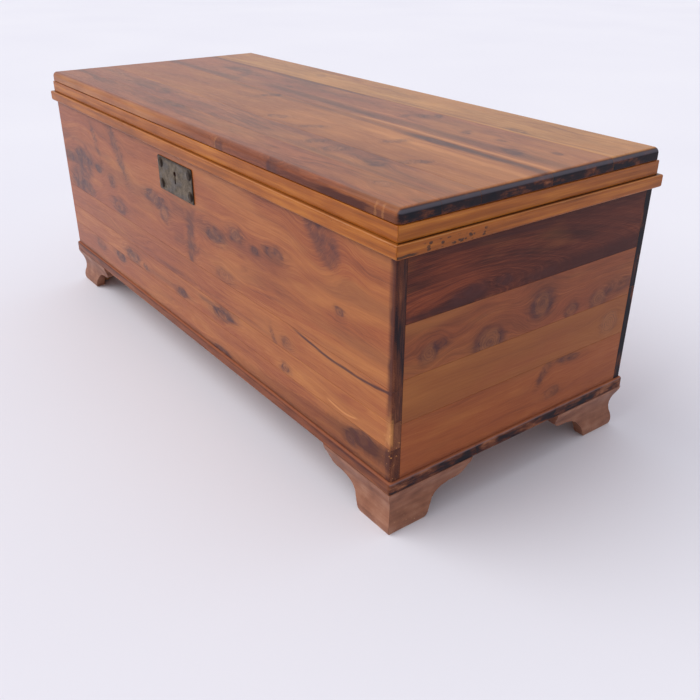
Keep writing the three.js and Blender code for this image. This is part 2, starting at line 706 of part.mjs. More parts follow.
// The bolt: a bar below the lugs with two hooks that stand beside them, and that enter the eyes when it
// slides to the right. At full travel the hooks' uprights still stand clear of the lugs.
function lockBolt() {
  const near = LOCK_MID_Y - BOLT_THICKNESS / 2;
  const far = LOCK_MID_Y + BOLT_THICKNESS / 2;
  const hookTop = EYE_TOP - HOOK_PLAY;
  const hookBottom = hookTop - HOOK_THICKNESS;
  const barTop = EYE_TOP - EYE_HEIGHT - LUG_TOE - BOLT_BAR_DROP;
  const uprightRight = -LUG_WIDTH / 2 - BOLT_TRAVEL - 0.5;
  const uprightLeft = uprightRight - HOOK_THICKNESS;
  const hookTip = -LUG_WIDTH / 2 - 1.5;
  const slab = (left, right, low, high) => block([left, near, low], [right, far, high]);
  let bolt = slab(LUGS[0] + uprightLeft, LUGS[1], barTop - BOLT_BAR_HEIGHT, barTop);
  for (const x of LUGS) {
    bolt = bolt.add(slab(x + uprightLeft, x + uprightRight, barTop - OVERLAP, hookTop));
    bolt = bolt.add(slab(x + uprightRight - OVERLAP, x + hookTip, hookBottom, hookTop));
  }
  return part("lock_bolt", bolt, STEEL);
}

// ---- Assembly -----------------------------------------------------------------------------------

const chest = new THREE.Group();

const carcase = new THREE.Group();
carcase.add(caseWalls(), baseSlab(), caseBand(), feet());

const lockOnCase = new THREE.Group();
lockOnCase.position.x = LOCK_X;
lockOnCase.add(escutcheon(), lockCase());
for (const [place, sideX, sideZ] of [
  ["top_left", -1, 1],
  ["top_right", 1, 1],
  ["bottom_left", -1, -1],
  ["bottom_right", 1, -1],
]) {
  const x = sideX * ESCUTCHEON_SCREW.x;
  const z = ESCUTCHEON.centreZ + sideZ * ESCUTCHEON_SCREW.z;
  lockOnCase.add(escutcheonScrew(`escutcheon_screw_${place}`, x, z));
}
carcase.add(lockOnCase);

const lid = new THREE.Group();
lid.add(lidSlab(), lidApron(), cleat("lid_cleat_left", -CLEAT.x), cleat("lid_cleat_right", CLEAT.x));
const strike = lockStrike();
strike.position.x = LOCK_X;
lid.add(strike);

for (const [name, x] of [
  ["left_hinge", -HINGE_X],
  ["right_hinge", HINGE_X],
]) {
  const { caseParts, lidParts } = hingeParts(name, x);
  carcase.add(...caseParts);
  lid.add(...lidParts);
}

carcase.add(stayStud("stay_wall_stud", STAY_STUD, INNER_END - 0.2));
lid.add(stayStud("stay_lid_stud", STAY_PIVOT, HALF_LENGTH + APRON_OVERHANG - APRON_THICKNESS - 0.2));

const bolt = lockBolt();
bolt.position.x = LOCK_X;

chest.add(carcase, lid, stayArm(), bolt);

export default chest;
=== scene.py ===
"""The looks of a knotty cedar blanket chest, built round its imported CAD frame.

Lengths in materials are millimetres in the chest's own frame, because every material reads its place
from the object's coordinates. Meshes, lights and the camera are in metres.
"""

import json
import math
import random

import bmesh
import bpy
from mathutils import Matrix, Vector


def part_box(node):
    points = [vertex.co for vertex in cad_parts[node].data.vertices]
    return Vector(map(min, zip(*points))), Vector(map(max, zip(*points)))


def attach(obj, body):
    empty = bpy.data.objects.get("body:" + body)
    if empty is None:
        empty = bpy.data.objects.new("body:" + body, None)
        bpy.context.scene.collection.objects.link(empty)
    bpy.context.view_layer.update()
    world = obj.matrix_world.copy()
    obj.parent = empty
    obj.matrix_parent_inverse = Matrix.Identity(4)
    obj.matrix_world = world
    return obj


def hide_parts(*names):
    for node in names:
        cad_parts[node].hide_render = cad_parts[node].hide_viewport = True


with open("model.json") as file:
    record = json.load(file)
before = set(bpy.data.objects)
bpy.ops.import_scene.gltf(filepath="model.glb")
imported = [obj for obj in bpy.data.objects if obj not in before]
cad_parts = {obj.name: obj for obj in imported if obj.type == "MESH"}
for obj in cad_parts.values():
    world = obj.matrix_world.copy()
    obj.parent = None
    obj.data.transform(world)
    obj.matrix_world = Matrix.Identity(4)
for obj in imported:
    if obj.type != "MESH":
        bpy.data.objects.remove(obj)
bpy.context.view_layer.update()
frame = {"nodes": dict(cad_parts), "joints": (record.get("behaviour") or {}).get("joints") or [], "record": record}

MM = 0.001
NODES = frame["nodes"]
BODY_OF = {node: body for body, nodes in frame["record"]["behaviour"]["bodies"].items() for node in nodes}


def millimetres(node):
    """The lowest and highest corner of a CAD node, in millimetres."""
    low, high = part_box(node)
    return low / MM, high / MM


def linear(code):
    """A colour as the shaders want it, from the hexadecimal code people use."""
    channels = [int(code[i : i + 2], 16) / 255 for i in (1, 3, 5)]
    return [c / 12.92 if c < 0.04045 else ((c + 0.055) / 1.055) ** 2.4 for c in channels] + [1.0]


# ---- Shader arithmetic ----


class Value:
    """A shader output that takes part in arithmetic. Each operation adds one Math node."""

    def __init__(self, sheet, socket):
        self.sheet = sheet
        self.socket = socket

    def __add__(self, other):
        return self.sheet.math("ADD", self, other)

    def __sub__(self, other):
        return self.sheet.math("SUBTRACT", self, other)

    def __mul__(self, other):
        return self.sheet.math("MULTIPLY", self, other)

    def __truediv__(self, other):
        return self.sheet.math("DIVIDE", self, other)

    def __rsub__(self, other):
        return self.sheet.math("SUBTRACT", other, self)

    __radd__ = __add__
    __rmul__ = __mul__

    def __abs__(self):
        return self.sheet.math("ABSOLUTE", self)

    def fade(self, start, end, low=0.0, high=1.0):
        """low at start, high at end, and a smooth step between them."""
        return self.sheet.smooth_step(self, start, end, low, high)

    def clipped(self):
        return self.sheet.math("MINIMUM", self.sheet.math("MAXIMUM", self, 0.0), 1.0)


class Graph:
    """A tree of shader nodes that is written as arithmetic."""

    def __init__(self, tree):
        self.tree = tree

    def node(self, kind, **settings):
        made = self.tree.nodes.new(kind)
        for key, value in settings.items():
            setattr(made, key, value)
        return made

    def plug(self, socket, value):
        """Links a value into a socket, or sets the socket to a plain number or colour."""
        if isinstance(value, Value):
            value = value.socket
        if isinstance(value, bpy.types.NodeSocket):
            self.tree.links.new(value, socket)
        else:
            socket.default_value = value

    def plug_all(self, made, values):
        """Links or sets the inputs of a node by name."""
        for key, value in values.items():
            self.plug(made.inputs[key], value)

    def fed(self, kind, values, **settings):
        """A new node with its first inputs given in order."""
        made = self.node(kind, **settings)
        for socket, value in zip(made.inputs, values):
            self.plug(socket, value)
        return made

    def math(self, operation, *values):
        return Value(self, self.fed("ShaderNodeMath", values, operation=operation).outputs[0])

    def vector_math(self, operation, *values, **named):
        made = self.fed("ShaderNodeVectorMath", values, operation=operation)
        self.plug_all(made, named)
        output = "Value" if operation in ("LENGTH", "DOT_PRODUCT") else "Vector"
        return Value(self, made.outputs[output])

    def split(self, vector):
        made = self.fed("ShaderNodeSeparateXYZ", [vector])
        return [Value(self, output) for output in made.outputs]

    def join(self, x, y, z=0.0):
        return Value(self, self.fed("ShaderNodeCombineXYZ", (x, y, z)).outputs[0])

    def smooth_step(self, *values):
        made = self.fed("ShaderNodeMapRange", values, interpolation_type="SMOOTHSTEP")
        return Value(self, made.outputs[0])

    def noise(self, x, y, z=0.0, detail=2.0, roughness=0.5, seed=0.0):
        """Noise from 0 to 1, mostly between 0.3 and 0.7, of coordinates already scaled to its cells."""
        made = self.node("ShaderNodeTexNoise")
        place = self.join(x + 17.3 * seed, y - 9.1 * seed, z)
        self.plug_all(made, {"Vector": place, "Scale": 1.0, "Detail": detail, "Roughness": roughness})
        return Value(self, made.outputs[0])

    def cells(self, x, y, z=0.0, seed=0.0):
        """Distance to the nearest of scattered points, of coordinates already scaled to its cells."""
        made = self.node("ShaderNodeTexVoronoi")
        self.plug_all(made, {"Vector": self.join(x + 5.7 * seed, y + 3.9 * seed, z), "Scale": 1.0})
        return Value(self, made.outputs["Distance"])

    def ramp(self, value, stops):
        """A colour ramp through (place, colour code) stops."""
        made = self.node("ShaderNodeValToRGB")
        elements = made.color_ramp.elements
        while len(elements) < len(stops):
            elements.new(0.5)
        for element, (position, code) in zip(elements, stops):
            element.position = position
            element.color = linear(code)
        self.plug(made.inputs[0], value)
        return Value(self, made.outputs[0])

    def mix(self, factor, first, second):
        made = self.node("ShaderNodeMix", data_type="RGBA")
        for key, value in (("Factor_Float", factor), ("A_Color", first), ("B_Color", second)):
            socket = next(s for s in made.inputs if s.identifier == key)
            self.plug(socket, linear(value) if isinstance(value, str) else value)
        output = next(s for s in made.outputs if s.identifier == "Result_Color")
        return Value(self, output)


class Sheet(Graph):
    """One material under construction, with its coordinates ready in millimetres."""

    def __init__(self, name):
        self.material = bpy.data.materials.new(name)
        self.material.use_nodes = True
        super().__init__(self.material.node_tree)
        self.tree.nodes.clear()
        self.surface = self.node("ShaderNodeBsdfPrincipled")
        output = self.node("ShaderNodeOutputMaterial")
        self.tree.links.new(self.surface.outputs[0], output.inputs["Surface"])
        where = self.node("ShaderNodeTexCoord")
        place = self.vector_math("SCALE", where.outputs["Object"], Scale=1 / MM)
        self.x, self.y, self.z = self.split(place)
        self.nx, self.ny, self.nz = self.split(where.outputs["Normal"])

    def finish(self, colour, roughness, metallic=0.0, coat=0.0, coat_roughness=0.1, height=None, depth=0.1):
        """Sets the surface. height is a relief, from 0 to 1, that is depth millimetres deep."""
        looks = {
            "Base Color": colour,
            "Roughness": roughness,
            "Metallic": metallic,
            "Specular IOR Level": 0.5 if metallic else 0.15,
            "Coat Weight": coat,
            "Coat Roughness": coat_roughness,
        }
        if height is not None:
            bump = self.node("ShaderNodeBump")
            self.plug_all(bump, {"Strength": 1.0, "Distance": depth * MM, "Height": height})
            looks["Normal"] = bump.outputs[0]
            looks["Coat Normal"] = bump.outputs[0]
        self.plug_all(self.surface, looks)
        return self.material


# ---- Cedar ----

ORANGE = [(0.0, "#B97238"), (0.5, "#9A5126"), (1.0, "#68301B")]
RED = [(0.0, "#8A4426"), (0.5, "#5E2819"), (1.0, "#2E1412")]
RUSSET = [(0.0, "#AE6536"), (0.5, "#8A4827"), (1.0, "#5A2C1E")]
TAN = [(0.0, "#B26F38"), (0.5, "#965628"), (1.0, "#753E22")]
GREYED = [(0.0, "#AE693C"), (0.5, "#8A4D2E"), (1.0, "#573027")]
SAPWOOD = [(0.0, "#BC8548"), (0.5, "#A06A36"), (1.0, "#6E3F24")]
HEART = "#431F1D"
GOLDEN = "#B8763A"
ROSY = "#8E442A"
KNOT_DARK = "#4E2726"
KNOT_TAN = "#9C6038"
END_GRAIN = [(0.25, "#16151E"), (0.45, "#291B20"), (0.6, "#5E3324"), (0.82, "#9A6244")]
WORN_AND_HIGHLIGHT = "#C8894F"
# Grey-blue of a painted reflection on end grain.
SHEEN_GREY = "#6C6772"


class Knot:
    """A branch's mark in a board: place along and across the board, its half width, and its looks.

    long is how many times longer than wide it is and lean turns it in degrees. pale is how tan its
    middle is, shade how dark the wood round it is, and reach how far that shade goes, in half widths.
    """

    def __init__(self, along, across, size, long=1.3, lean=0, pale=0.2, shade=0.8, reach=2.4):
        self.along, self.across, self.size = along, across, size
        self.long, self.lean, self.pale, self.shade, self.reach = long, lean, pale, shade, reach


KNOT_INPUTS = ["crooked", "along", "across", "lean", "size", "long", "pale", "shade", "reach"]
KNOT_OUTPUTS = ["shift", "halo", "dark", "tan"]


def make_knot_group():
    """The node group of one knot: how far it pushes the grain aside, and its halo, dark and tan masks."""
    group = bpy.data.node_groups.new("knot", "ShaderNodeTree")
    group.interface.new_socket("place", in_out="INPUT", socket_type="NodeSocketVector")
    for name in KNOT_INPUTS:
        group.interface.new_socket(name, in_out="INPUT", socket_type="NodeSocketFloat")
    for name in KNOT_OUTPUTS:
        group.interface.new_socket(name, in_out="OUTPUT", socket_type="NodeSocketFloat")
    g = Graph(group)
    given = g.node("NodeGroupInput")
    made = g.node("NodeGroupOutput")
    crooked, along, across, lean, size, long, pale, shade, reach = (
        Value(g, given.outputs[name]) for name in KNOT_INPUTS
    )
    local = g.node("ShaderNodeMapping", vector_type="TEXTURE")
    place = {
        "Vector": given.outputs["place"],
        "Location": g.join(along, across),
        "Rotation": g.join(0.0, 0.0, lean),
        "Scale": g.join(size * long, size, 1.0),
    }
    g.plug_all(local, place)
    lengthways, side, _ = g.split(local.outputs[0])
    distance = g.vector_math("LENGTH", local.outputs[0])
    drawn_out = g.vector_math("LENGTH", g.join(lengthways * 0.8, side))
    inside = distance.fade(1.2, 0.75)
    ends = (abs(lengthways) / (distance + 0.01)).fade(0.1, 0.9, 0.45, 1.3)
    rim = distance.fade(1.55, 1.05) * distance.fade(0.55, 0.92) * ends
    rings = g.math("SINE", distance * size * 1.5 + crooked).fade(0.1, 1.0) * inside
    core = distance.fade(0.8, 0.1)
    fill = (core * 0.6 + inside * 0.35) * (1 - pale) * shade
    masks = {
        "shift": side * size * distance.fade(3.4, 0.2) * -0.9,
        "halo": drawn_out.fade(reach, 0.5) * shade,
        "dark": fill + rim * shade * 0.55 + rings * (pale * 0.3 + 0.15),
        "tan": inside * pale,
    }
    g.plug_all(made, masks)
    return group


KNOT_GROUP = make_knot_group()


def knotted(sheet, u, v, knots, seed):
    """What the knots do to a board: the sums of each output of the knot group."""
    wobble_u = (sheet.noise(u / 17, v / 9, 0.3, detail=3, seed=seed + 1) - 0.5) * 11
    wobble_v = (sheet.noise(u / 17, v / 9, 7.7, detail=3, seed=seed + 2) - 0.5) * 7
    place = sheet.join(u + wobble_u, v + wobble_v)
    crooked = (sheet.noise(u / 9, v / 9, 3.1, seed=seed + 12) - 0.5) * 5
    sums = {name: 0.0 for name in KNOT_OUTPUTS}
    for knot in knots:
        mark = sheet.node("ShaderNodeGroup", node_tree=KNOT_GROUP)
        sheet.plug(mark.inputs["place"], place)
        sheet.plug(mark.inputs["crooked"], crooked)
        sheet.plug(mark.inputs["lean"], math.radians(knot.lean))
        for name in ("along", "across", "size", "long", "pale", "shade", "reach"):
            sheet.plug(mark.inputs[name], getattr(knot, name))
        sums = {name: Value(sheet, mark.outputs[name]) + total for name, total in sums.items()}
    blotch = sheet.noise(u / 24, v / 15, seed=seed + 13).fade(0.36, 0.62, 0.45, 1.25)
    broken = blotch * 0.7 + 0.35
    return sums["shift"], blotch * sums["halo"], broken * sums["dark"], sums["tan"]


class Streak:
    """A dark or, with shade below 0, pale streak along the grain, from one place to another.

    bend is how far its ends stand off the line its middle lies on.
    """

    def __init__(self, start, end, across, width, shade=0.6, bend=0):
        self.start, self.end, self.across = start, end, across
        self.width, self.shade, self.bend = width, shade, bend


def streaked(sheet, u, v, streaks, seed):
    """What the streaks do to a board: (dark, pale)."""
    dark, pale = 0.0, 0.0
    wander = (sheet.noise(u / 160, 0.0, seed=seed + 20) - 0.5) * 16
    ragged = (sheet.noise(u / 40, v / 3, detail=3, seed=seed + 21) - 0.5) * 0.9
    for streak in streaks:
        half = (streak.end - streak.start) / 2
        from_middle = (u - (streak.start + half)) / half
        line = from_middle * from_middle * streak.bend + streak.across
        off = abs(v + wander - line) / streak.width + ragged
        mask = off.fade(1.0, 0.15) * abs(from_middle).fade(1.15, 0.75) * abs(streak.shade)
        if streak.shade > 0:
            dark = mask + dark
        else:
            pale = mask + pale
    return dark, pale


def cedar(
    name, node, along, across, knots=(), seed=0, tones=ORANGE, tone=0.0, contrast=1.0, pith=(30, -70),
    heart=0.3, streaks=(), stain_and_shade_mask=None, wear_and_highlight_mask=None, end_tone=0.0, end_patch=30, arch=None,
    end_contrast=1.4, gloss=0.4, inward=None, wave=26, warmer=0.0,
):
    """Knotty red cedar under satin lacquer, for one board.

    along and across name the axes the grain runs along and the board's width. pith is where the
    log's middle lies from the board's middle, across and through it. tone darkens the whole board,
    heart is how much dark heartwood shows, stain(sheet) may add a mask of stained wood and painted
    shade, and worn(sheet) one of paler wear and painted highlight. end_tone lightens the end grain.
    arch is (middle, steepness) of nested arches in the grain. wave is how far the grain wanders, and
    warmer how much more golden the board gets in a metre.
    inward is the axis and sign of the face inside the chest, which has no lacquer.
    """
    s = Sheet(name)
    axes = {"x": (s.x, s.nx), "y": (s.y, s.ny), "z": (s.z, s.nz)}
    through = ({"x", "y", "z"} - {along, across}).pop()
    (u, end_facing), (v, _), (w, _) = axes[along], axes[across], axes[through]
    low, high = millimetres(node)
    middle = (low + high) / 2

    shift, halo, knot_dark, knot_pale = knotted(s, u, v, knots, seed)
    v_grain = v + shift
    slow = s.noise(u / 330, v / 60, w / 60, detail=3, seed=seed + 3)
    dv = v_grain - (getattr(middle, across) + pith[0])
    dw = w - (getattr(middle, through) + pith[1])
    away = dv * dv + dw * dw
    if arch is not None:
        du = (u - arch[0]) * arch[1]
        away = away + du * du
    log = s.math("SQRT", away) + slow * wave

    bands = s.noise(u / 900, log / 9, detail=3, roughness=0.6, seed=seed + 4)
    lines = s.noise(u / 400, log / 1.3, seed=seed + 5)
    fibre = s.noise(u / 24, v_grain / 0.6, w / 0.6, seed=seed + 6)
    cloud = s.noise(u / 140, v / 34, w / 34, detail=3, seed=seed + 7)
    streak = s.noise(u / 70, v_grain / 4, w / 4, detail=3, seed=seed + 11)
    figure = (bands - 0.5) * 0.9 + (lines - 0.5) * 0.8 + (fibre - 0.5) * 0.8 + (cloud - 0.5) * 0.8
    colour = s.ramp(figure * contrast + 0.5 + tone, tones)
    blush = s.noise(u / 230, v / 50, w / 50, seed=seed + 14) + u * (warmer * MM)
    colour = s.mix(blush.fade(0.48, 0.72) * 0.35, colour, GOLDEN)
    colour = s.mix(blush.fade(0.5, 0.28) * 0.35, colour, ROSY)

    heartwood = s.noise(u / 700, log / 20, seed=seed + 8).fade(0.6 - 0.1 * heart, 0.74)
    dark = heartwood * heart + halo * ((streak - 0.5) * 2.2 + (fibre - 0.5) * 0.8 + 0.62)
    streak_dark, streak_pale = streaked(s, u, v, streaks, seed)
    dark = dark + streak_dark
    dulled = 0.0
    # The mask adds dark stained wood and painted shade, and dulls the coat there.
    if stain_and_shade_mask is not None:
        dulled = stain_and_shade_mask(s).clipped()
        dark = dark + dulled
    if streaks:
        colour = s.mix(streak_pale, colour, "#D08C4E")
    colour = s.mix(dark.clipped() * 0.9, colour, HEART)
    if len(knots):
        mottled = (cloud - 0.5) * 0.8 + (fibre - 0.5) * 0.5 + 0.9
        colour = s.mix((knot_pale * mottled).clipped(), colour, KNOT_TAN)
        colour = s.mix((knot_dark * mottled).clipped() * 0.95, colour, KNOT_DARK)

    end = abs(end_facing).fade(0.3, 0.72)
    patches = s.noise(v / end_patch, w / 16, u / 30, detail=4, roughness=0.6, seed=seed + 9)
    pores = s.noise(v / 1.2, w / 1.2, u / 9, seed=seed + 10)
    rings = s.noise(v / 45, w / 1.8, u / 30, detail=3, seed=seed + 15)
    end_value = (patches - 0.5) * end_contrast + (rings - 0.5) * 0.25 + (pores - 0.5) * 0.2 + 0.42 + end_tone
    colour = s.mix(end, colour, s.ramp(end_value, END_GRAIN))
    # Painted reflection: a grey-blue sheen on end grain that faces up, on rounded edges.
    sheen = end * s.nz.fade(0.2, 0.45) * s.nz.fade(0.85, 0.7)
    colour = s.mix(sheen * 0.5, colour, SHEEN_GREY)
    # Paler wear, and on the lid's front edge a painted highlight.
    if wear_and_highlight_mask is not None:
        colour = s.mix(wear_and_highlight_mask(s), colour, WORN_AND_HIGHLIGHT)
    bare = end
    if inward is not None:
        axis, sign = inward
        inner = (axes[axis][1] * sign).fade(0.3, 0.8)
        colour = s.mix(inner * 0.45, colour, "#B8704F")
        bare = s.math("MAXIMUM", end, inner)

    rough = (fibre - 0.5) * 0.3 + 0.5 + bare * 0.12
    grooves = s.noise(u / 24, v / 0.6, w / 0.6, seed=seed + 6)
    ripple = s.noise(u / 400, v / 1.3, w / 1.3, seed=seed + 5)
    relief = grooves * 0.5 + ripple * 0.5
    coat = (gloss - bare * (gloss * 0.85)) * (1 - dulled * 0.8)
    return s.finish(colour, rough, coat=coat, coat_roughness=0.2, height=relief, depth=0.05)


# Marks on the boards that face out, in millimetres from the chest's middle and from the floor.

FRONT_KNOTS = {
    1: [
        Knot(-545, 300, 9, long=2.2),
        Knot(-478, 318, 11),
        Knot(-480, 278, 34, long=1.9, lean=35, shade=0.55, pale=0.0, reach=1.5),
        Knot(-500, 262, 9, long=4.6, lean=52, shade=0.25, pale=0.35, reach=1.5),
        Knot(-455, 248, 14, long=2.2, shade=0.5),
        Knot(-425, 310, 6, shade=0.7),
        Knot(-375, 308, 6, long=1.8),
        Knot(-310, 296, 9, shade=0.7),
        Knot(-287, 252, 12, long=2.2, shade=0.7),
        Knot(-375, 368, 8, long=3.0, lean=-62, shade=0.4),
        Knot(-262, 368, 14, long=2.8, lean=-55, shade=0.6, pale=0.3),
        Knot(-108, 315, 10, long=2.4, shade=0.9, pale=0.3),
        Knot(-70, 295, 13, long=1.1, shade=0.6, pale=0.6),
        Knot(28, 272, 10, long=3.2, lean=84, shade=0.75),
        Knot(115, 308, 11, long=1.9, pale=0.3),
        Knot(188, 330, 10, long=1.6, pale=0.55),
        Knot(246, 322, 6, shade=0.7),
        Knot(300, 335, 8, long=2.4, lean=6),
        Knot(140, 247, 12, long=1.8, shade=0.35),
        Knot(460, 303, 6, long=1.2, pale=0.3),
        Knot(420, 398, 25, long=1.5, lean=-45, shade=0.6, pale=0.0, reach=1.3),
    ],
    2: [Knot(326, 200, 8, shade=0.4), Knot(290, 192, 5, long=3, lean=-60, shade=0.4)],
    3: [
        Knot(-245, 158, 11, long=2.2, pale=0.5),
        Knot(-190, 154, 5, long=1.8, shade=0.7),
        Knot(-30, 156, 8, long=1.6, shade=0.9),
        Knot(128, 172, 10, long=2.6, lean=10, shade=0.95),
        Knot(320, 155, 6, long=1.5, shade=0.9),
    ],
    4: [
        Knot(-315, 137, 9, long=1.9, shade=0.9),
        Knot(-425, 130, 10, long=2.0, shade=0.4),
        Knot(110, 96, 6, long=3.0, shade=0.9),
        Knot(486, 117, 7, shade=0.6),
        Knot(515, 130, 9, long=1.6, shade=0.9),
    ],
}

END_KNOTS = {
    1: [
        Knot(-122, 339, 9, long=2.6, lean=6, shade=0.75, pale=0.0, reach=1.8),
        Knot(-57, 341, 7, long=1.8, lean=-10, shade=0.7, pale=0.0, reach=1.8),
        Knot(20, 332, 6, long=4.0, shade=0.4, pale=0.0),
    ],
    2: [
        Knot(-187, 272, 14, long=1.0, shade=0.5, pale=0.45, reach=1.6),
        Knot(-168, 281, 7, long=1.4, shade=0.9, pale=0.0),
        Knot(-76, 254, 21, long=1.15, lean=-15, shade=0.95, pale=0.6, reach=1.6),
        Knot(24, 284, 20, long=0.95, shade=1.0, pale=0.5, reach=1.9),
        Knot(92, 257, 11, long=1.1, shade=0.7, pale=0.4, reach=1.8),
        Knot(153, 259, 14, long=1.2, shade=0.5, pale=0.5, reach=1.7),
        Knot(200, 270, 9, long=2.6, shade=0.5),
    ],
    3: [Knot(190, 207, 19, long=1.0, shade=0.25, pale=0.75, reach=1.5)],
    4: [
        Knot(50, 168, 7, long=2.4, lean=60, shade=0.6),
        Knot(104, 173, 5, long=4.0, lean=-5, shade=0.7),
        Knot(72, 124, 9, long=1.4, shade=0.3),
    ],
}

LID_KNOTS = {
    1: [
        Knot(-110, -186, 9, long=2.6, shade=0.5),
        Knot(485, -196, 9, shade=0.3, pale=0.7),
        Knot(156, -254, 9, shade=0.7, reach=1.6),
        Knot(305, -254, 11, long=1.2, shade=1.0, reach=1.6),
    ],
    2: [
        Knot(-235, -146, 8, long=2.4, lean=-30, shade=0.5),
        Knot(255, -138, 9, lean=60, shade=0.6),
        Knot(308, -142, 12, long=1.2, lean=60, shade=0.6, pale=0.6),
        Knot(402, -138, 12, lean=-40, shade=0.75, pale=0.3),
    ],
    3: [
        Knot(-80, -5, 9, long=1.6, lean=70, shade=0.7),
        Knot(80, -92, 10, long=1.5, lean=30, shade=0.4),
        Knot(175, -88, 9, long=1.8, lean=45, shade=0.4),
        Knot(430, -98, 8, long=2.0, lean=60, shade=0.5),
        Knot(365, 4, 8, long=2.2, shade=0.9),
        Knot(325, -45, 8, long=1.8, lean=70, shade=0.35),
    ],
    4: [
        Knot(230, 115, 10, long=1.4, lean=50, shade=0.7),
        Knot(200, 80, 6, lean=-50, shade=0.5),
        Knot(345, 80, 6, lean=-50, shade=0.7),
        Knot(415, 85, 5),
        Knot(515, 92, 5),
        Knot(470, 51, 9, long=1.5, lean=-30, shade=0.7),
        Knot(-300, 60, 9, long=1.8, lean=-50, shade=0.5),
        Knot(-370, 100, 10, long=1.9, shade=0.45),
    ],
    5: [Knot(385, 152, 6, long=2.4, shade=0.5), Knot(-200, 190, 8, shade=0.2)],
}

FRONT_STREAKS = {
    1: [Streak(-575, -300, 345, 9, 0.25), Streak(-40, 60, 262, 14, 0.3), Streak(-600, 380, 312, 24, 0.28)],
    2: [Streak(345, 585, 222, 3.5, 1.0, bend=12), Streak(-200, 300, 195, 4, 0.2)],
    3: [
        Streak(-190, 20, 155, 9, 0.35),
        Streak(40, 170, 173, 7, 0.5),
        Streak(430, 500, 151, 2.5, -0.7, bend=4),
    ],
}
END_STREAKS = {
    1: [Streak(-260, -85, 329, 6, 0.7, bend=3), Streak(-200, 30, 405, 4, 0.35)],
}
END_ARCH = (-150, 0.21)  # place and steepness of the arches in the top end board's grain
LID_NICKS = (144, 533, 547)  # along the lid's front edge
LID_STREAKS = {
    1: [Streak(-575, 100, -190, 10, 0.3)],
    2: [
        Streak(-575, 120, -112, 7, -0.5),
        Streak(150, 575, -172, 9, 0.35),
        Streak(-575, -200, -140, 12, 0.3),
    ],
    3: [Streak(-300, 575, 4, 12, 0.4), Streak(290, 600, 1, 15, 0.6), Streak(200, 600, -30, 10, -0.3)],
    4: [
        Streak(-600, 60, 131, 13, 0.55),
        Streak(-200, 590, 42, 19, 0.55, bend=5),
        Streak(-600, -250, 30, 16, 0.5),
        Streak(140, 600, 20, 6, -0.4),
        Streak(-250, 350, 100, 16, 0.25),
    ],
    5: [Streak(100, 580, 148, 6, 0.35)],
}


def shade_and_grime(sheet):
    """Painted shade, with some dirt, in the creases above the base and below the band."""
    ragged = (sheet.noise(sheet.x / 14, sheet.y / 14, sheet.z / 3, detail=3, seed=6.6) - 0.5) * 12
    return (sheet.z + ragged).fade(103, 93) * 0.45 + (sheet.z + ragged).fade(403, 414) * 0.4


def corner_stain_and_shade(sheet):
    """The front boards darken towards the chest's right corner, most of all high up: painted shade along the
    rounded corner, dark wood in a wedge low down, painted shade behind the keyhole, and painted shade with some
    dirt above the base and below the band.
    """
    edge = millimetres("front_board_1")[1].x
    ragged = sheet.noise(sheet.x / 9, sheet.z / 45, seed=3.3)
    # Painted shade in a band along the rounded corner, strongest high up.
    reach = (sheet.x + ragged * 8).fade(edge - 11, edge - 1)
    reach = reach * sheet.y.fade(-232, -242)
    wedge_top = sheet.x * (45 / edge) + 99
    wedge = (wedge_top - sheet.z + ragged * 8).fade(0, 12) * sheet.x.fade(20, 500, 0.2, 0.45)
    wedge = wedge + sheet.x.fade(400, 540) * (sheet.z + ragged * 14).fade(112, 126) * 0.4
    bottom = wedge * sheet.z.fade(146, 143)
    low, high = millimetres("escutcheon")
    keyhole = (low + high) / 2
    # Painted shade in the wood behind the keyhole, so that the slot looks dark.
    behind_plate = abs(sheet.x - keyhole.x).fade(9, 7) * abs(sheet.z - keyhole.z).fade(16, 14)
    return reach * sheet.z.fade(165, 235, 0.3, 0.95) + bottom + behind_plate + shade_and_grime(sheet)


def corner_wear(sheet):
    """Rubbed, paler wood low on the front right corner."""
    edge = millimetres("front_board_1")[1].x
    rough = sheet.noise(sheet.x / 6, sheet.y / 6, sheet.z / 9, detail=4, roughness=0.6, seed=5.1)
    ragged = (rough - 0.5) * 40
    patch = (sheet.x + ragged * 0.4).fade(edge - 16, edge - 4) * (sheet.z + ragged).fade(143, 158)
    patch = patch * (sheet.z + ragged).fade(205, 175)
    chips = sheet.noise(sheet.x / 4, sheet.y / 4, sheet.z / 5, seed=8.2).fade(0.66, 0.7)
    patch = patch * sheet.y.fade(-240, -243)
    return (patch * 0.6 + chips * sheet.x.fade(edge - 30, edge) * sheet.z.fade(210, 150) * 0.6).clipped()


def back_corner_shade(sheet):
    """The top end board is darkest behind and along its foot."""
    low, high = millimetres("right_end_board_1")
    behind = sheet.y.fade(-190, 60) * 0.75
    foot = (sheet.z - sheet.y * 0.04).fade(low.z + 24, low.z + 6) * sheet.y.fade(-40, 60, 0.1, 0.55)
    return behind * 0.65 + foot + sheet.z.fade(high.z - 50, high.z - 25) * 0.3 + shade_and_grime(sheet)


def lid_edge_stain(sheet):
    """Dark heartwood along the lower half of the lid's front edge, most of all near the right corner."""
    top = millimetres("lid_board_1")[1].z
    ragged = sheet.noise(sheet.x / 40, sheet.z / 5, detail=3, seed=9.4) - 0.5
    forward = sheet.ny.fade(-0.3, -0.7)
    lower = (sheet.z + ragged * 12).fade(top - 5, top - 11)
    place = sheet.x + ragged * 60
    darkest = place.fade(380, 450) * place.fade(525, 500)
    band = lower * (place.fade(290, 350) * 0.5 + darkest * 0.5)
    return forward * (sheet.x.fade(-100, 150) * 0.15 + band)


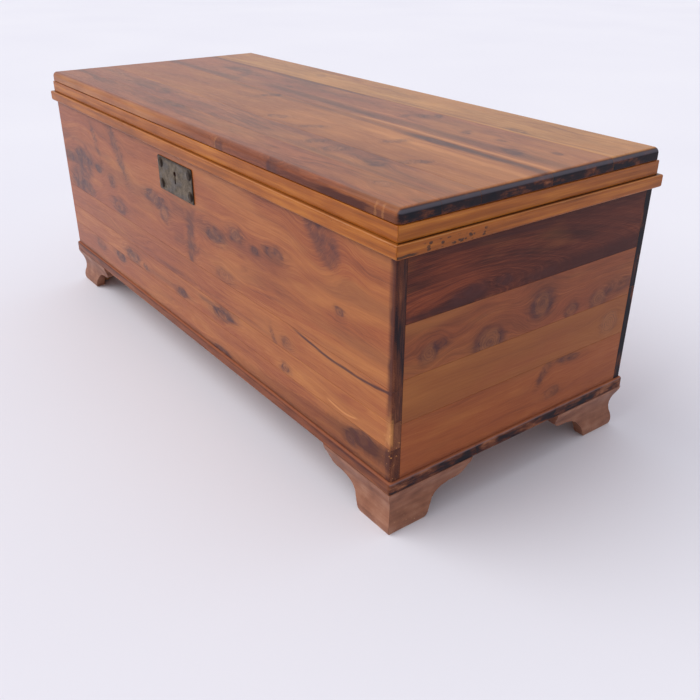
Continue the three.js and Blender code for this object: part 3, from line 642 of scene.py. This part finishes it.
def lid_edge_wear_and_highlight(sheet):
    """The lid's front edge is golden at the left, from rubbing and from a painted highlight, with a few pale
    nicks.
    """
    ragged = (sheet.noise(sheet.x / 5, sheet.z / 5, seed=2.9) - 0.5) * 8
    nicks = 0.0
    for place in LID_NICKS:
        nicks = abs(sheet.x + ragged - place).fade(3.0, 0.5) + nicks
    # Golden from rubbing, and a painted highlight, strongest at the left.
    rubbed_and_lit = sheet.noise(sheet.x / 110, sheet.z / 14, seed=4.9).fade(0.25, 0.75, 0.2, 0.6)
    rubbed_and_lit = rubbed_and_lit * sheet.x.fade(-200, 150, 0.9, 0.0)
    return sheet.ny.fade(-0.3, -0.7) * (nicks * 0.25 + rubbed_and_lit).clipped()


def slab_stain_and_shade(sheet):
    """The slab's front edge is dark with years of polish and dust, and painted shade darkens its top arris;
    painted shade with some dirt lies on its ledge against the case.
    """
    ragged = sheet.noise(sheet.x / 50, sheet.z / 5, detail=3, seed=2.2)
    top = millimetres("base_board_1")[1].z
    # Dark front edge, with painted shade along its top arris.
    edge = ragged.fade(0.3, 0.65, 0.3, 0.65) + (sheet.z + ragged * 4).fade(top - 4, top) * 0.3
    broken = sheet.noise(sheet.x / 30, sheet.y / 30, detail=3, seed=3.6).fade(0.3, 0.6, 0.9, 0.5)
    case_low, case_high = millimetres("front_board_1")
    beside = abs(sheet.x).fade(case_high.x - 4, case_high.x - 2)
    before = abs(sheet.y).fade(-case_low.y - 4, -case_low.y - 2)
    # Painted shade, with some dirt, on the ledge next to the case.
    ledge = sheet.nz.fade(0.35, 0.8) * (beside + before).clipped() * broken
    return sheet.ny.fade(-0.3, -0.7) * edge + ledge


def random_knots(seed, count, low, high):
    """Knots scattered at random over a board that faces away."""
    rng = random.Random(seed)
    knots = []
    for _ in range(count):
        along = rng.uniform(low[0], high[0])
        across = rng.uniform(low[1] + 12, high[1] - 12)
        size = rng.uniform(5, 13)
        lean = rng.uniform(-30, 30)
        long = rng.uniform(1.0, 2.2)
        pale = rng.uniform(0, 0.6)
        shade = rng.uniform(0.4, 0.9)
        knots.append(Knot(along, across, size, long, lean, pale, shade))
    return knots


# ---- Other materials ----


def dents(sheet):
    """A crack and a row of small dents on the band's right side, near the front corner."""
    low, high = millimetres("case_band_right")
    pits = sheet.cells(sheet.y / 8, sheet.z / 5.5, seed=2).fade(0.46, 0.3)
    pits = pits * sheet.y.fade(low.y + 30, low.y + 55) * sheet.y.fade(low.y + 150, low.y + 138)
    pits = pits * sheet.noise(sheet.y / 16, sheet.z / 6, seed=4.4).fade(0.38, 0.52)
    pits = pits * sheet.z.fade(low.z + 2, low.z + 4) * sheet.z.fade(high.z - 3, high.z - 6)
    wander = (sheet.noise(sheet.y / 14, 0.0, detail=3, seed=7.7) - 0.5) * 5
    crack = abs(sheet.z + wander - (low.z + 4)).fade(2.4, 1.0) * sheet.y.fade(low.y + 36, low.y + 24)
    return sheet.math("MAXIMUM", pits, crack) * sheet.x.fade(high.x - 4, high.x - 2)


def from_outer_face(sheet, node):
    """How far in from its outer face a point of the band is."""
    low, high = millimetres(node)
    if node.endswith("front"):
        return sheet.y - low.y
    if node.endswith("back"):
        return high.y - sheet.y
    if node.endswith("left"):
        return sheet.x - low.x
    return high.x - sheet.x


def ledge_shade_and_dirt(sheet, node):
    """Painted shade, with some dirt, on the band's top, in the corner that the lid's frame leaves open."""
    strength = 0.85 if node.endswith(("right", "back")) else 0.4
    return sheet.nz.fade(0.5, 0.8) * from_outer_face(sheet, node).fade(1.8, 4.0) * strength


def arris_wear_and_highlight(sheet, node):
    """The band's outer edges are pale, from wear and from a painted highlight."""
    low, high = millimetres(node)
    ragged = (sheet.noise(sheet.x / 30, sheet.y / 30, detail=3, seed=6.2) - 0.5) * 2.5
    top = (high.z - sheet.z + ragged).fade(1.6, 0.6)
    bottom = (sheet.z - low.z + ragged).fade(1.6, 0.6)
    outer = from_outer_face(sheet, node).fade(2.5, 1.0)
    return (top + bottom) * outer


def light_wood(name, along, seed, damage=None, band=None):
    """Plain honey-coloured wood with fine straight grain and specks.

    damage(sheet) may add a mask of dents, and band names the piece if it is one of the rim's band.
    """
    s = Sheet(name)
    u, v, w = {"x": (s.x, s.y, s.z), "y": (s.y, s.x, s.z)}[along]
    fibre = s.noise(u / 30, v / 0.6, w / 0.6, seed=seed)
    bands = s.noise(u / 240, v / 6, w / 6, detail=3, seed=seed + 1)
    cloud = s.noise(u / 90, v / 30, w / 30, seed=seed + 2)
    tone = (bands - 0.5) * 1.2 + (fibre - 0.5) * 0.5 + (cloud - 0.5) * 0.7 + 0.45
    colour = s.ramp(tone, [(0.0, "#C47A2A"), (0.5, "#9C5416"), (1.0, "#69360D")])
    specks = s.cells(u / 9, v / 3, w / 3, seed=seed).fade(0.16, 0.08) * cloud.fade(0.5, 0.62)
    colour = s.mix(specks * 0.8, colour, "#3A2318")
    relief = fibre * 0.6 + bands * 0.4
    if band is not None:
        # Painted shade with some dirt on the band's ledge.
        colour = s.mix(ledge_shade_and_dirt(s, band), colour, "#2E1A12")
        # Pale wear and a painted highlight on the band's edges.
        colour = s.mix(arris_wear_and_highlight(s, band) * 0.3, colour, "#D09C6C")
    if damage is not None:
        harm = damage(s)
        colour = s.mix(harm * 0.85, colour, "#2A1710")
        relief = relief - harm * 3
    rough = (fibre - 0.5) * 0.2 + 0.42
    return s.finish(colour, rough, coat=0.22, coat_roughness=0.2, height=relief, depth=0.05)


def foot_wood(name, seed):
    """The feet's wood: cedar-coloured, dull with wear, with scuffs that show paler wood."""
    s = Sheet(name)
    along = s.x + s.y
    fibre = s.noise(along / 30, s.z / 0.7, seed=seed)
    bands = s.noise(along / 160, s.z / 8, detail=3, seed=seed + 1)
    cloud = s.noise(s.x / 30, s.y / 30, s.z / 22, detail=3, seed=seed + 2)
    tone = (bands - 0.5) * 0.7 + (fibre - 0.5) * 0.3 + (cloud - 0.5) * 1.1 + 0.48
    colour = s.ramp(tone, [(0.0, "#AE8068"), (0.45, "#91604A"), (1.0, "#603A2E")])
    scuff = s.noise(s.x / 5, s.y / 5, s.z / 3, detail=4, roughness=0.7, seed=seed + 3).fade(0.6, 0.7)
    low = s.z.fade(30, 2)
    colour = s.mix(scuff * (low * 0.5 + 0.15), colour, "#D0A078")
    low, high = millimetres("front_right_foot_long_bracket")
    arris = abs(s.x).fade(high.x - 7, high.x - 1) * abs(s.y).fade(-low.y - 7, -low.y - 1)
    sole = (s.z + (cloud - 0.5) * 6).fade(3.0, 1.0)
    colour = s.mix((arris * cloud.fade(0.4, 0.6) + sole).clipped() * 0.5, colour, "#C8987A")
    rough = cloud * 0.2 + 0.42
    relief = fibre * 0.4 + cloud * 0.6
    return s.finish(colour, rough, coat=0.15, coat_roughness=0.3, height=relief, depth=0.12)


def bare_wood(name, seed):
    """Unfinished pale wood inside the chest."""
    s = Sheet(name)
    fibre = s.noise(s.x / 0.8, s.y / 30, s.z / 0.8, seed=seed)
    bands = s.noise(s.x / 9, s.y / 200, s.z / 9, seed=seed + 1)
    tone = (bands - 0.5) * 1.2 + (fibre - 0.5) * 0.6 + 0.5
    colour = s.ramp(tone, [(0.0, "#CDA57C"), (0.5, "#B98A62"), (1.0, "#8F6244")])
    return s.finish(colour, fibre * 0.2 + 0.6, height=fibre)


def plate_tarnish_and_shade(sheet):
    """Black along the escutcheon's edges: tarnished patina, and painted shade that makes the top and right edges
    much darker than the others.
    """
    low, high = millimetres("escutcheon")
    ragged = (sheet.noise(sheet.x / 7, sheet.z / 7, detail=3, seed=1.7) - 0.5) * 4
    top = (high.z - sheet.z + ragged).fade(4.5, 1.5)
    right = (high.x - sheet.x + ragged).fade(4.5, 1.5)
    rest = (sheet.x - low.x + ragged).fade(6, 1) + (sheet.z - low.z + ragged).fade(5, 1)
    return (top * 0.8 + right * 0.8 + rest * 0.3).clipped()


def screw_shade(sheet):
    """Painted shade: the domed heads are black above and on the right."""
    return (sheet.nx.fade(0.0, 0.3) + sheet.nz.fade(0.1, 0.45) * 0.7).clipped()


def aged_metal(name, light, dark, seed, roughness=0.45, grain=1.0, tarnish_and_shade_mask=None):
    """Metal with a mottled patina, fine scratches and a dull face. tarnish(sheet) may add a black mask of
    tarnished patina and painted shade.
    """
    s = Sheet(name)
    mottle = s.noise(s.x / 9, s.y / 9, s.z / 9, detail=5, roughness=0.65, seed=seed)
    speck = s.noise(s.x / 1.4, s.y / 1.4, s.z / 1.4, detail=3, seed=seed + 1)
    scratch = s.noise(s.x / 12, s.y / 12, s.z / 0.5, seed=seed + 2)
    tone = (mottle - 0.5) * 2.0 + (speck - 0.5) * 0.8 * grain + (scratch - 0.5) * 0.3 + 0.5
    colour = s.ramp(tone, [(0.0, light), (1.0, dark)])
    if tarnish_and_shade_mask is not None:
        cool = s.noise(s.x / 26, s.z / 14, seed=seed + 3).fade(0.45, 0.65)
        colour = s.mix(cool * 0.4, colour, "#5C5D62")
        # Black tarnished patina and painted shade from the mask.
        colour = s.mix(tarnish_and_shade_mask(s) * 0.85, colour, "#1E1310")
    rough = (mottle - 0.5) * 0.4 + (scratch - 0.5) * 0.2 + roughness
    return s.finish(colour, rough, metallic=0.85, height=speck * 0.6 + mottle * 0.4, depth=0.12 * grain)


# ---- Pieces ----


CORNER_REACH = Vector((0.57, 0.24, 0))  # a board that goes out this far has a corner of the chest
LID_CORNER = 8  # mm, radii of the corners in plan
BASE_CORNER = 5
BAND_CORNER = 2
WELD = 2e-6  # metres between points that are one
FLAT = math.radians(0.4)  # faces closer to one plane than this are merged
EASED = math.radians(33)  # edges sharper than this get a small bevel
CREASE = math.radians(50)  # and edges sharper than this stay crisp in the shading
KNOTS_IN_A_FAR_BOARD = 7
PIECES = {}  # the finished piece that stands for each CAD node


def added(name, data):
    """A new object in the scene."""
    made = bpy.data.objects.new(name, data)
    bpy.context.scene.collection.objects.link(made)
    return made


def set_material(obj, material):
    obj.data.materials.clear()
    obj.data.materials.append(material)


def round_corners_in_plan(skin, radius, steps=6):
    """Rounds the outer corners of a board, seen from above, to a radius in metres.

    The square at each corner is squeezed into a quarter disc, so flat faces stay flat.
    """
    xs = [v.co.x for v in skin.verts]
    ys = [v.co.y for v in skin.verts]
    for sign_x, edge_x in ((-1, min(xs)), (1, max(xs))):
        for sign_y, edge_y in ((-1, min(ys)), (1, max(ys))):
            inner = Vector((edge_x - sign_x * radius, edge_y - sign_y * radius, 0))
            if sign_x * edge_x < CORNER_REACH.x or sign_y * edge_y < CORNER_REACH.y:
                continue
            for step in range(steps):
                along = radius * step / steps
                for normal in (Vector((sign_x, 0, 0)), Vector((0, sign_y, 0))):
                    near = [v for v in skin.verts if (v.co - inner).xy.length < radius * 3]
                    faces = {f for v in near for f in v.link_faces}
                    edges = {e for f in faces for e in f.edges}
                    geometry = list({v for e in edges for v in e.verts}) + list(edges) + list(faces)
                    bmesh.ops.bisect_plane(
                        skin, geom=geometry, dist=1e-7, plane_co=inner + normal * along, plane_no=normal
                    )
            for vert in skin.verts:
                across, deep = (vert.co.x - inner.x) * sign_x, (vert.co.y - inner.y) * sign_y
                if across > 0 and deep > 0:
                    scale = max(across, deep) / math.hypot(across, deep)
                    vert.co.x = inner.x + sign_x * across * scale
                    vert.co.y = inner.y + sign_y * deep * scale


def dressed(node, material, edge=0.15, segments=2, plan_round=0):
    """A finely finished copy of a CAD node: one welded skin, with its sharp edges eased by edge mm."""
    mesh = bpy.data.meshes.new(f"{node}_shaped")
    skin = bmesh.new()
    skin.from_mesh(NODES[node].data)
    bmesh.ops.remove_doubles(skin, verts=skin.verts, dist=WELD)
    bmesh.ops.dissolve_limit(skin, angle_limit=FLAT, verts=skin.verts, edges=skin.edges)
    if plan_round:
        round_corners_in_plan(skin, plan_round * MM)
    sharp = [e for e in skin.edges if e.calc_face_angle(0) > EASED]
    bmesh.ops.bevel(
        skin, geom=sharp, offset=edge * MM, segments=segments, profile=0.5, affect="EDGES",
        clamp_overlap=True,
    )
    for face in skin.faces:
        face.smooth = True
    skin.to_mesh(mesh)
    skin.free()
    mesh.set_sharp_from_angle(angle=CREASE)
    piece = added(f"{node}_shaped", mesh)
    set_material(piece, material)
    weighted = piece.modifiers.new("even_shading", "WEIGHTED_NORMAL")
    weighted.keep_sharp = True
    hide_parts(node)
    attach(piece, BODY_OF[node])
    PIECES[node] = piece


def nodes_named(start):
    return sorted(node for node in NODES if node.startswith(start))


def dress_front():
    """The four front boards, rosy at the left and golden at the right."""
    for number, knots in FRONT_KNOTS.items():
        node = f"front_board_{number}"
        dark = {1: 0.03, 2: -0.03, 3: -0.1, 4: -0.06}[number]
        ends = {1: 0.12, 2: 0.13, 3: 0.28, 4: 0.17}[number]
        wood = cedar(
            node, node, "x", "z", knots, seed=number, tone=dark, pith=(-30, 75), contrast=0.9,
            # The corner mask paints shade along the rounded corner and behind the keyhole.
            streaks=FRONT_STREAKS.get(number, ()), stain_and_shade_mask=corner_stain_and_shade, wear_and_highlight_mask=corner_wear,
            end_tone=ends, end_patch=70, end_contrast=0.6, inward=("y", 1), warmer=0.2,
        )
        dressed(node, wood)


def dress_right_end():
    """The four boards of the right end, the top one of dark heartwood."""
    for number, knots in END_KNOTS.items():
        node = f"right_end_board_{number}"
        tones = {1: RED, 2: RUSSET, 3: TAN, 4: ORANGE}[number]
        dark = {1: 0.0, 2: 0.05, 3: 0.05, 4: 0.05}[number]
        heart = {1: 0.3, 2: 0.3, 3: 0.0, 4: 0.1}[number]
        contrast = {1: 1.5, 2: 0.8, 3: 0.5, 4: 0.55}[number]
        pith = {1: (-48, -8), 2: (40, -80), 3: (60, -90), 4: (-30, -90)}[number]
        wood = cedar(
            node, node, "y", "z", knots, seed=10 + number, tones=tones, tone=dark, contrast=contrast,
            pith=pith, heart=heart, arch=END_ARCH if number == 1 else None,
            # Painted shade, with some dirt, on the end boards.
            streaks=END_STREAKS.get(number, ()), stain_and_shade_mask=back_corner_shade if number == 1 else shade_and_grime,
            gloss=0.08 if number == 1 else 0.2, inward=("x", -1), wave=18,
        )
        dressed(node, wood)


def dress_lid():
    """The lid's five boards, its corners rounded in plan."""
    for number, knots in LID_KNOTS.items():
        node = f"lid_board_{number}"
        dark = {1: 0.06, 2: 0.1, 3: 0.06, 4: 0.06, 5: -0.06}[number]
        tones = {1: RUSSET, 2: GREYED, 3: TAN, 4: GREYED, 5: SAPWOOD}[number]
        wood = cedar(
            node, node, "x", "y", knots, seed=20 + number, tones=tones, tone=dark, contrast=1.1,
            warmer=0.25, gloss=0.32, pith=(20, -80), heart=0.15, streaks=LID_STREAKS[number],
            inward=("z", -1), end_tone=-0.02,
            # The lid's edge-wear mask also paints a highlight on the left of the front edge.
            stain_and_shade_mask=lid_edge_stain if number == 1 else None, wear_and_highlight_mask=lid_edge_wear_and_highlight if number == 1 else None,
        )
        dressed(node, wood, plan_round=LID_CORNER)


def dress_far_boards():
    """The back, the left end and the base, with knots at random."""
    hidden = nodes_named("back_board") + nodes_named("left_end_board") + nodes_named("base_board")
    for seed, node in enumerate(hidden, start=40):
        low, high = millimetres(node)
        along = "y" if "end" in node else "x"
        across = "y" if "base" in node else "z"
        corners = [(getattr(corner, along), getattr(corner, across)) for corner in (low, high)]
        knots = random_knots(seed, KNOTS_IN_A_FAR_BOARD, *corners)
        # Dark slab edge with painted shade on its ledge, or painted shade with some dirt in the other boards'
        # creases.
        stain_and_shade_mask = slab_stain_and_shade if "base" in node else shade_and_grime
        inward = {"base": ("z", 1), "back": ("y", -1), "left": ("x", 1)}[node.split("_")[0]]
        wood = cedar(
            node, node, along, across, knots, seed=seed, pith=(15, -70), contrast=0.8, stain_and_shade_mask=stain_and_shade_mask,
            end_tone=0.15 if "base" in node else 0.0, end_patch=45, end_contrast=1.6, inward=inward,
        )
        dressed(node, wood, plan_round=BASE_CORNER if "base" in node else 0)


def dress_light_wood():
    for seed, node in enumerate(nodes_named("case_band") + nodes_named("lid_apron"), start=70):
        along = "x" if node.endswith(("front", "back")) else "y"
        damage = dents if node == "case_band_right" else None
        band = node if node.startswith("case_band") else None
        dressed(node, light_wood(node, along, seed, damage, band), edge=0.35, plan_round=BAND_CORNER)


def dress_feet():
    for seed, node in enumerate((n for n in NODES if "_foot_" in n), start=90):
        wood = bare_wood(node, seed) if node.endswith("block") else foot_wood(node, seed)
        dressed(node, wood, edge=0.8, segments=3)


def dress_metal(steel):
    plate = aged_metal("plate_patina", "#84745E", "#463C33", 1, roughness=0.5, tarnish_and_shade_mask=plate_tarnish_and_shade)
    screw = aged_metal("screw_patina", "#7C6A56", "#40352C", 2, tarnish_and_shade_mask=screw_shade)
    dressed("escutcheon", plate, edge=0.35)
    for node in nodes_named("escutcheon_screw"):
        dressed(node, screw)
    small = ["stay_arm", "stay_lid_stud", "stay_wall_stud", "lock_case", "lock_strike", "lock_bolt"]
    for node in small + [n for n in NODES if "hinge" in n]:
        dressed(node, steel, edge=0.2)


def dress_cleats():
    for seed, node in enumerate(nodes_named("lid_cleat"), start=120):
        dressed(node, bare_wood(node, seed), edge=0.6)


# ---- Screws ----

LEAF_GAP = 0.3  # mm between a hinge's closed leaves
PLATE = 1.5  # mm, how thick the strike's plate is
SCREW_PLAY = 0.15  # mm between a screw's head and its countersink, at the side
SCREW_SEAT = 0.05  # and underneath
HINGE_SCREW_PLACES = ((0.16, 8), (0.5, 14), (0.84, 8))  # share of the leaf's length, mm from its edge
HINGE_SCREW = (3.2, 1.3)  # radius and depth of the heads, in mm
LOCK_SCREW = (2.4, 1.2)
CLEAT_SCREW = (4.0, 2.2)


def turned(profile, sides=24):
    """A solid turned about Z, from (radius, height) points in millimetres that start and end on the axis."""
    solid = bmesh.new()
    verts = [solid.verts.new((radius * MM, 0, height * MM)) for radius, height in profile]
    edges = [solid.edges.new(pair) for pair in zip(verts, verts[1:])]
    bmesh.ops.spin(solid, geom=verts + edges, axis=(0, 0, 1), steps=sides, angle=math.tau)
    bmesh.ops.remove_doubles(solid, verts=solid.verts, dist=1e-6)
    bmesh.ops.recalc_face_normals(solid, faces=solid.faces)
    return solid


def placed(solid, name, matrix):
    """An object made of a solid that a matrix puts in its place. The solid is used up."""
    solid.transform(matrix)
    mesh = bpy.data.meshes.new(name)
    solid.to_mesh(mesh)
    solid.free()
    return added(name, mesh)


def carve(piece, cutter):
    """Cuts a shape out of a piece's own mesh, and throws the cutter away."""
    cut = piece.modifiers.new("cut", "BOOLEAN")
    cut.operation = "DIFFERENCE"
    cut.solver = "EXACT"
    cut.object = cutter
    bpy.context.view_layer.update()
    finished = piece.evaluated_get(bpy.context.evaluated_depsgraph_get())
    mesh = bpy.data.meshes.new_from_object(finished)
    piece.modifiers.clear()
    piece.data = mesh
    bpy.data.objects.remove(cutter)


def fit_screw(node, number, place, out, size, metal, rng):
    """Sinks a slotted countersunk screw into the piece for a node, with its head level with the face.

    place is on the face, in metres, and out is the way the face looks. size is (radius, depth) in mm.
    """
    radius, depth = size
    stand = Matrix.Translation(place) @ Vector(out).to_track_quat("Z", "Y").to_matrix().to_4x4()
    stand = stand @ Matrix.Rotation(rng.uniform(0, math.pi), 4, "Z")
    wide, deep = radius + SCREW_PLAY, depth + SCREW_SEAT
    sink = [(0, 1), (wide, 1), (wide, 0), (wide / 2, -deep), (0, -deep)]
    carve(PIECES[node], placed(turned(sink), "countersink", stand))
    crown = [(0, 0.08), (radius * 0.6, 0.06), (radius * 0.97, 0), (radius, -0.1)]
    head = crown + [(radius / 2, -depth), (0, -depth)]
    screw = placed(turned(head), f"{node}_screw_{number}", stand)
    slot = bmesh.new()
    bmesh.ops.create_cube(slot, size=1.0)
    slot.transform(Matrix.Diagonal((radius * 3 * MM, radius * 0.3 * MM, radius * 0.6 * MM, 1)))
    carve(screw, placed(slot, "slot", stand))
    set_material(screw, metal)
    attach(screw, BODY_OF[node])


def fit_hinge_screws(metal, rng):
    """Three screws in each hinge leaf, on the face that the other leaf closes on."""
    pivot = next(joint for joint in frame["joints"] if joint["name"] == "lid_hinge")["pos_m"]
    for side in ("left", "right"):
        for leaf, up in (("case", 1), ("lid", -1)):
            node = f"{side}_hinge_{leaf}_leaf"
            low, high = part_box(node)
            face = pivot[2] - up * LEAF_GAP * MM / 2
            for number, (across, deep) in enumerate(HINGE_SCREW_PLACES, start=1):
                place = (low.x + (high.x - low.x) * across, low.y + deep * MM, face)
                fit_screw(node, number, place, (0, 0, up), HINGE_SCREW, metal, rng)


def fit_lock_screws(metal, rng):
    """Four screws in the lock's face inside the chest, two in its top and two in the strike."""
    low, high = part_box("lock_case")
    side, end = 6 * MM, 8 * MM
    corners = [(x, high.y, z) for x in (low.x + side, high.x - side) for z in (low.z + end, high.z - end)]
    for number, place in enumerate(corners, start=1):
        fit_screw("lock_case", number, place, (0, 1, 0), LOCK_SCREW, metal, rng)
    middle = (low.y + high.y) / 2
    strike_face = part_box("lock_strike")[1].z - PLATE * MM
    for number, x in enumerate((low.x + side, high.x - side), start=1):
        fit_screw("lock_case", number + 4, (x, middle, high.z), (0, 0, 1), LOCK_SCREW, metal, rng)
        fit_screw("lock_strike", number, (x, middle, strike_face), (0, 0, -1), LOCK_SCREW, metal, rng)


def fit_cleat_screws(metal, rng):
    """Three screws up through each cleat into the lid."""
    for node in nodes_named("lid_cleat"):
        low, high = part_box(node)
        for number, share in enumerate((0.15, 0.5, 0.85), start=1):
            place = ((low.x + high.x) / 2, low.y + (high.y - low.y) * share, low.z)
            fit_screw(node, number, place, (0, 0, -1), CLEAT_SCREW, metal, rng)


dress_front()
dress_right_end()
dress_lid()
dress_far_boards()
dress_light_wood()
dress_feet()
dull_steel = aged_metal("dull_steel", "#9A958A", "#5B564C", 3, roughness=0.38, grain=0.4)
dress_metal(dull_steel)
dress_cleats()
slot_angles = random.Random(7)
fit_hinge_screws(dull_steel, slot_angles)
fit_lock_screws(dull_steel, slot_angles)
fit_cleat_screws(dull_steel, slot_angles)

# ---- Stage ----

FLOOR_SIZE = 60.0
FRONT_LIGHT_STRENGTH = 1.7
FRONT_LIGHT_DIRECTION = (0.35, 0.6, -0.72)
ROOM_COLOUR = (0.97, 0.965, 1.0, 1)
WINDOW_DIRECTION = (-0.55, 0.5, 0.67)
ROOM_BRIGHTNESS = 0.6
WINDOW_BRIGHTNESS = 0.9
BACKDROP_BRIGHTNESS = 0.86
CAMERA_PLACE = (1.246, -0.814, 0.760)
CAMERA_AZIMUTH, CAMERA_ELEVATION, CAMERA_ROLL = 53.22, 27.91, 0.25
CAMERA_LENS = 41.8  # mm, on a sensor 36 mm wide


def make_floor():
    mesh = bpy.data.meshes.new("floor")
    half = FLOOR_SIZE / 2
    corners = [(-half, -half, 0), (half, -half, 0), (half, half, 0), (-half, half, 0)]
    mesh.from_pydata(corners, [], [(0, 1, 2, 3)])
    floor = added("floor", mesh)
    s = Sheet("pale_floor")
    cloud = s.noise(s.x / 900, s.y / 900, detail=1)
    set_material(floor, s.finish(s.ramp(cloud, [(0.3, "#E4E4EE"), (0.7, "#E7E7F0")]), 0.8))


def light_the_room():
    """A pale room with a wide window behind on the left, and soft light from the left of the front.

    The camera sees an even pale backdrop instead of the room.
    """
    sun = bpy.data.lights.new("front_light", "SUN")
    sun.energy = FRONT_LIGHT_STRENGTH
    sun.angle = math.radians(60)
    sun.color = (1.0, 0.98, 0.95)
    holder = added("front_light", sun)
    holder.rotation_euler = Vector(FRONT_LIGHT_DIRECTION).to_track_quat("-Z", "Y").to_euler()
    world = bpy.data.worlds.new("studio")
    bpy.context.scene.world = world
    world.use_nodes = True
    g = Graph(world.node_tree)
    direction = g.node("ShaderNodeTexCoord").outputs["Generated"]
    facing = g.vector_math("DOT_PRODUCT", direction, WINDOW_DIRECTION)
    room = facing.fade(0.2, 0.95, ROOM_BRIGHTNESS, WINDOW_BRIGHTNESS)
    seen = Value(g, g.node("ShaderNodeLightPath").outputs["Is Camera Ray"])
    strength = seen * BACKDROP_BRIGHTNESS + (1 - seen) * room
    g.plug_all(g.tree.nodes["Background"], {"Color": ROOM_COLOUR, "Strength": strength})


def make_camera():
    data = bpy.data.cameras.new("camera")
    data.sensor_width, data.lens = 36, CAMERA_LENS
    camera = added("camera", data)
    azimuth, elevation = math.radians(CAMERA_AZIMUTH), math.radians(CAMERA_ELEVATION)
    level = math.cos(elevation)
    look = Vector((-math.sin(azimuth) * level, math.cos(azimuth) * level, -math.sin(elevation)))
    turn = look.to_track_quat("-Z", "Y").to_matrix().to_4x4()
    roll = Matrix.Rotation(math.radians(CAMERA_ROLL), 4, "Z")
    camera.matrix_world = Matrix.Translation(CAMERA_PLACE) @ turn @ roll
    bpy.context.scene.camera = camera


make_floor()
light_the_room()
make_camera()
bpy.context.scene.view_settings.view_transform = "Standard"
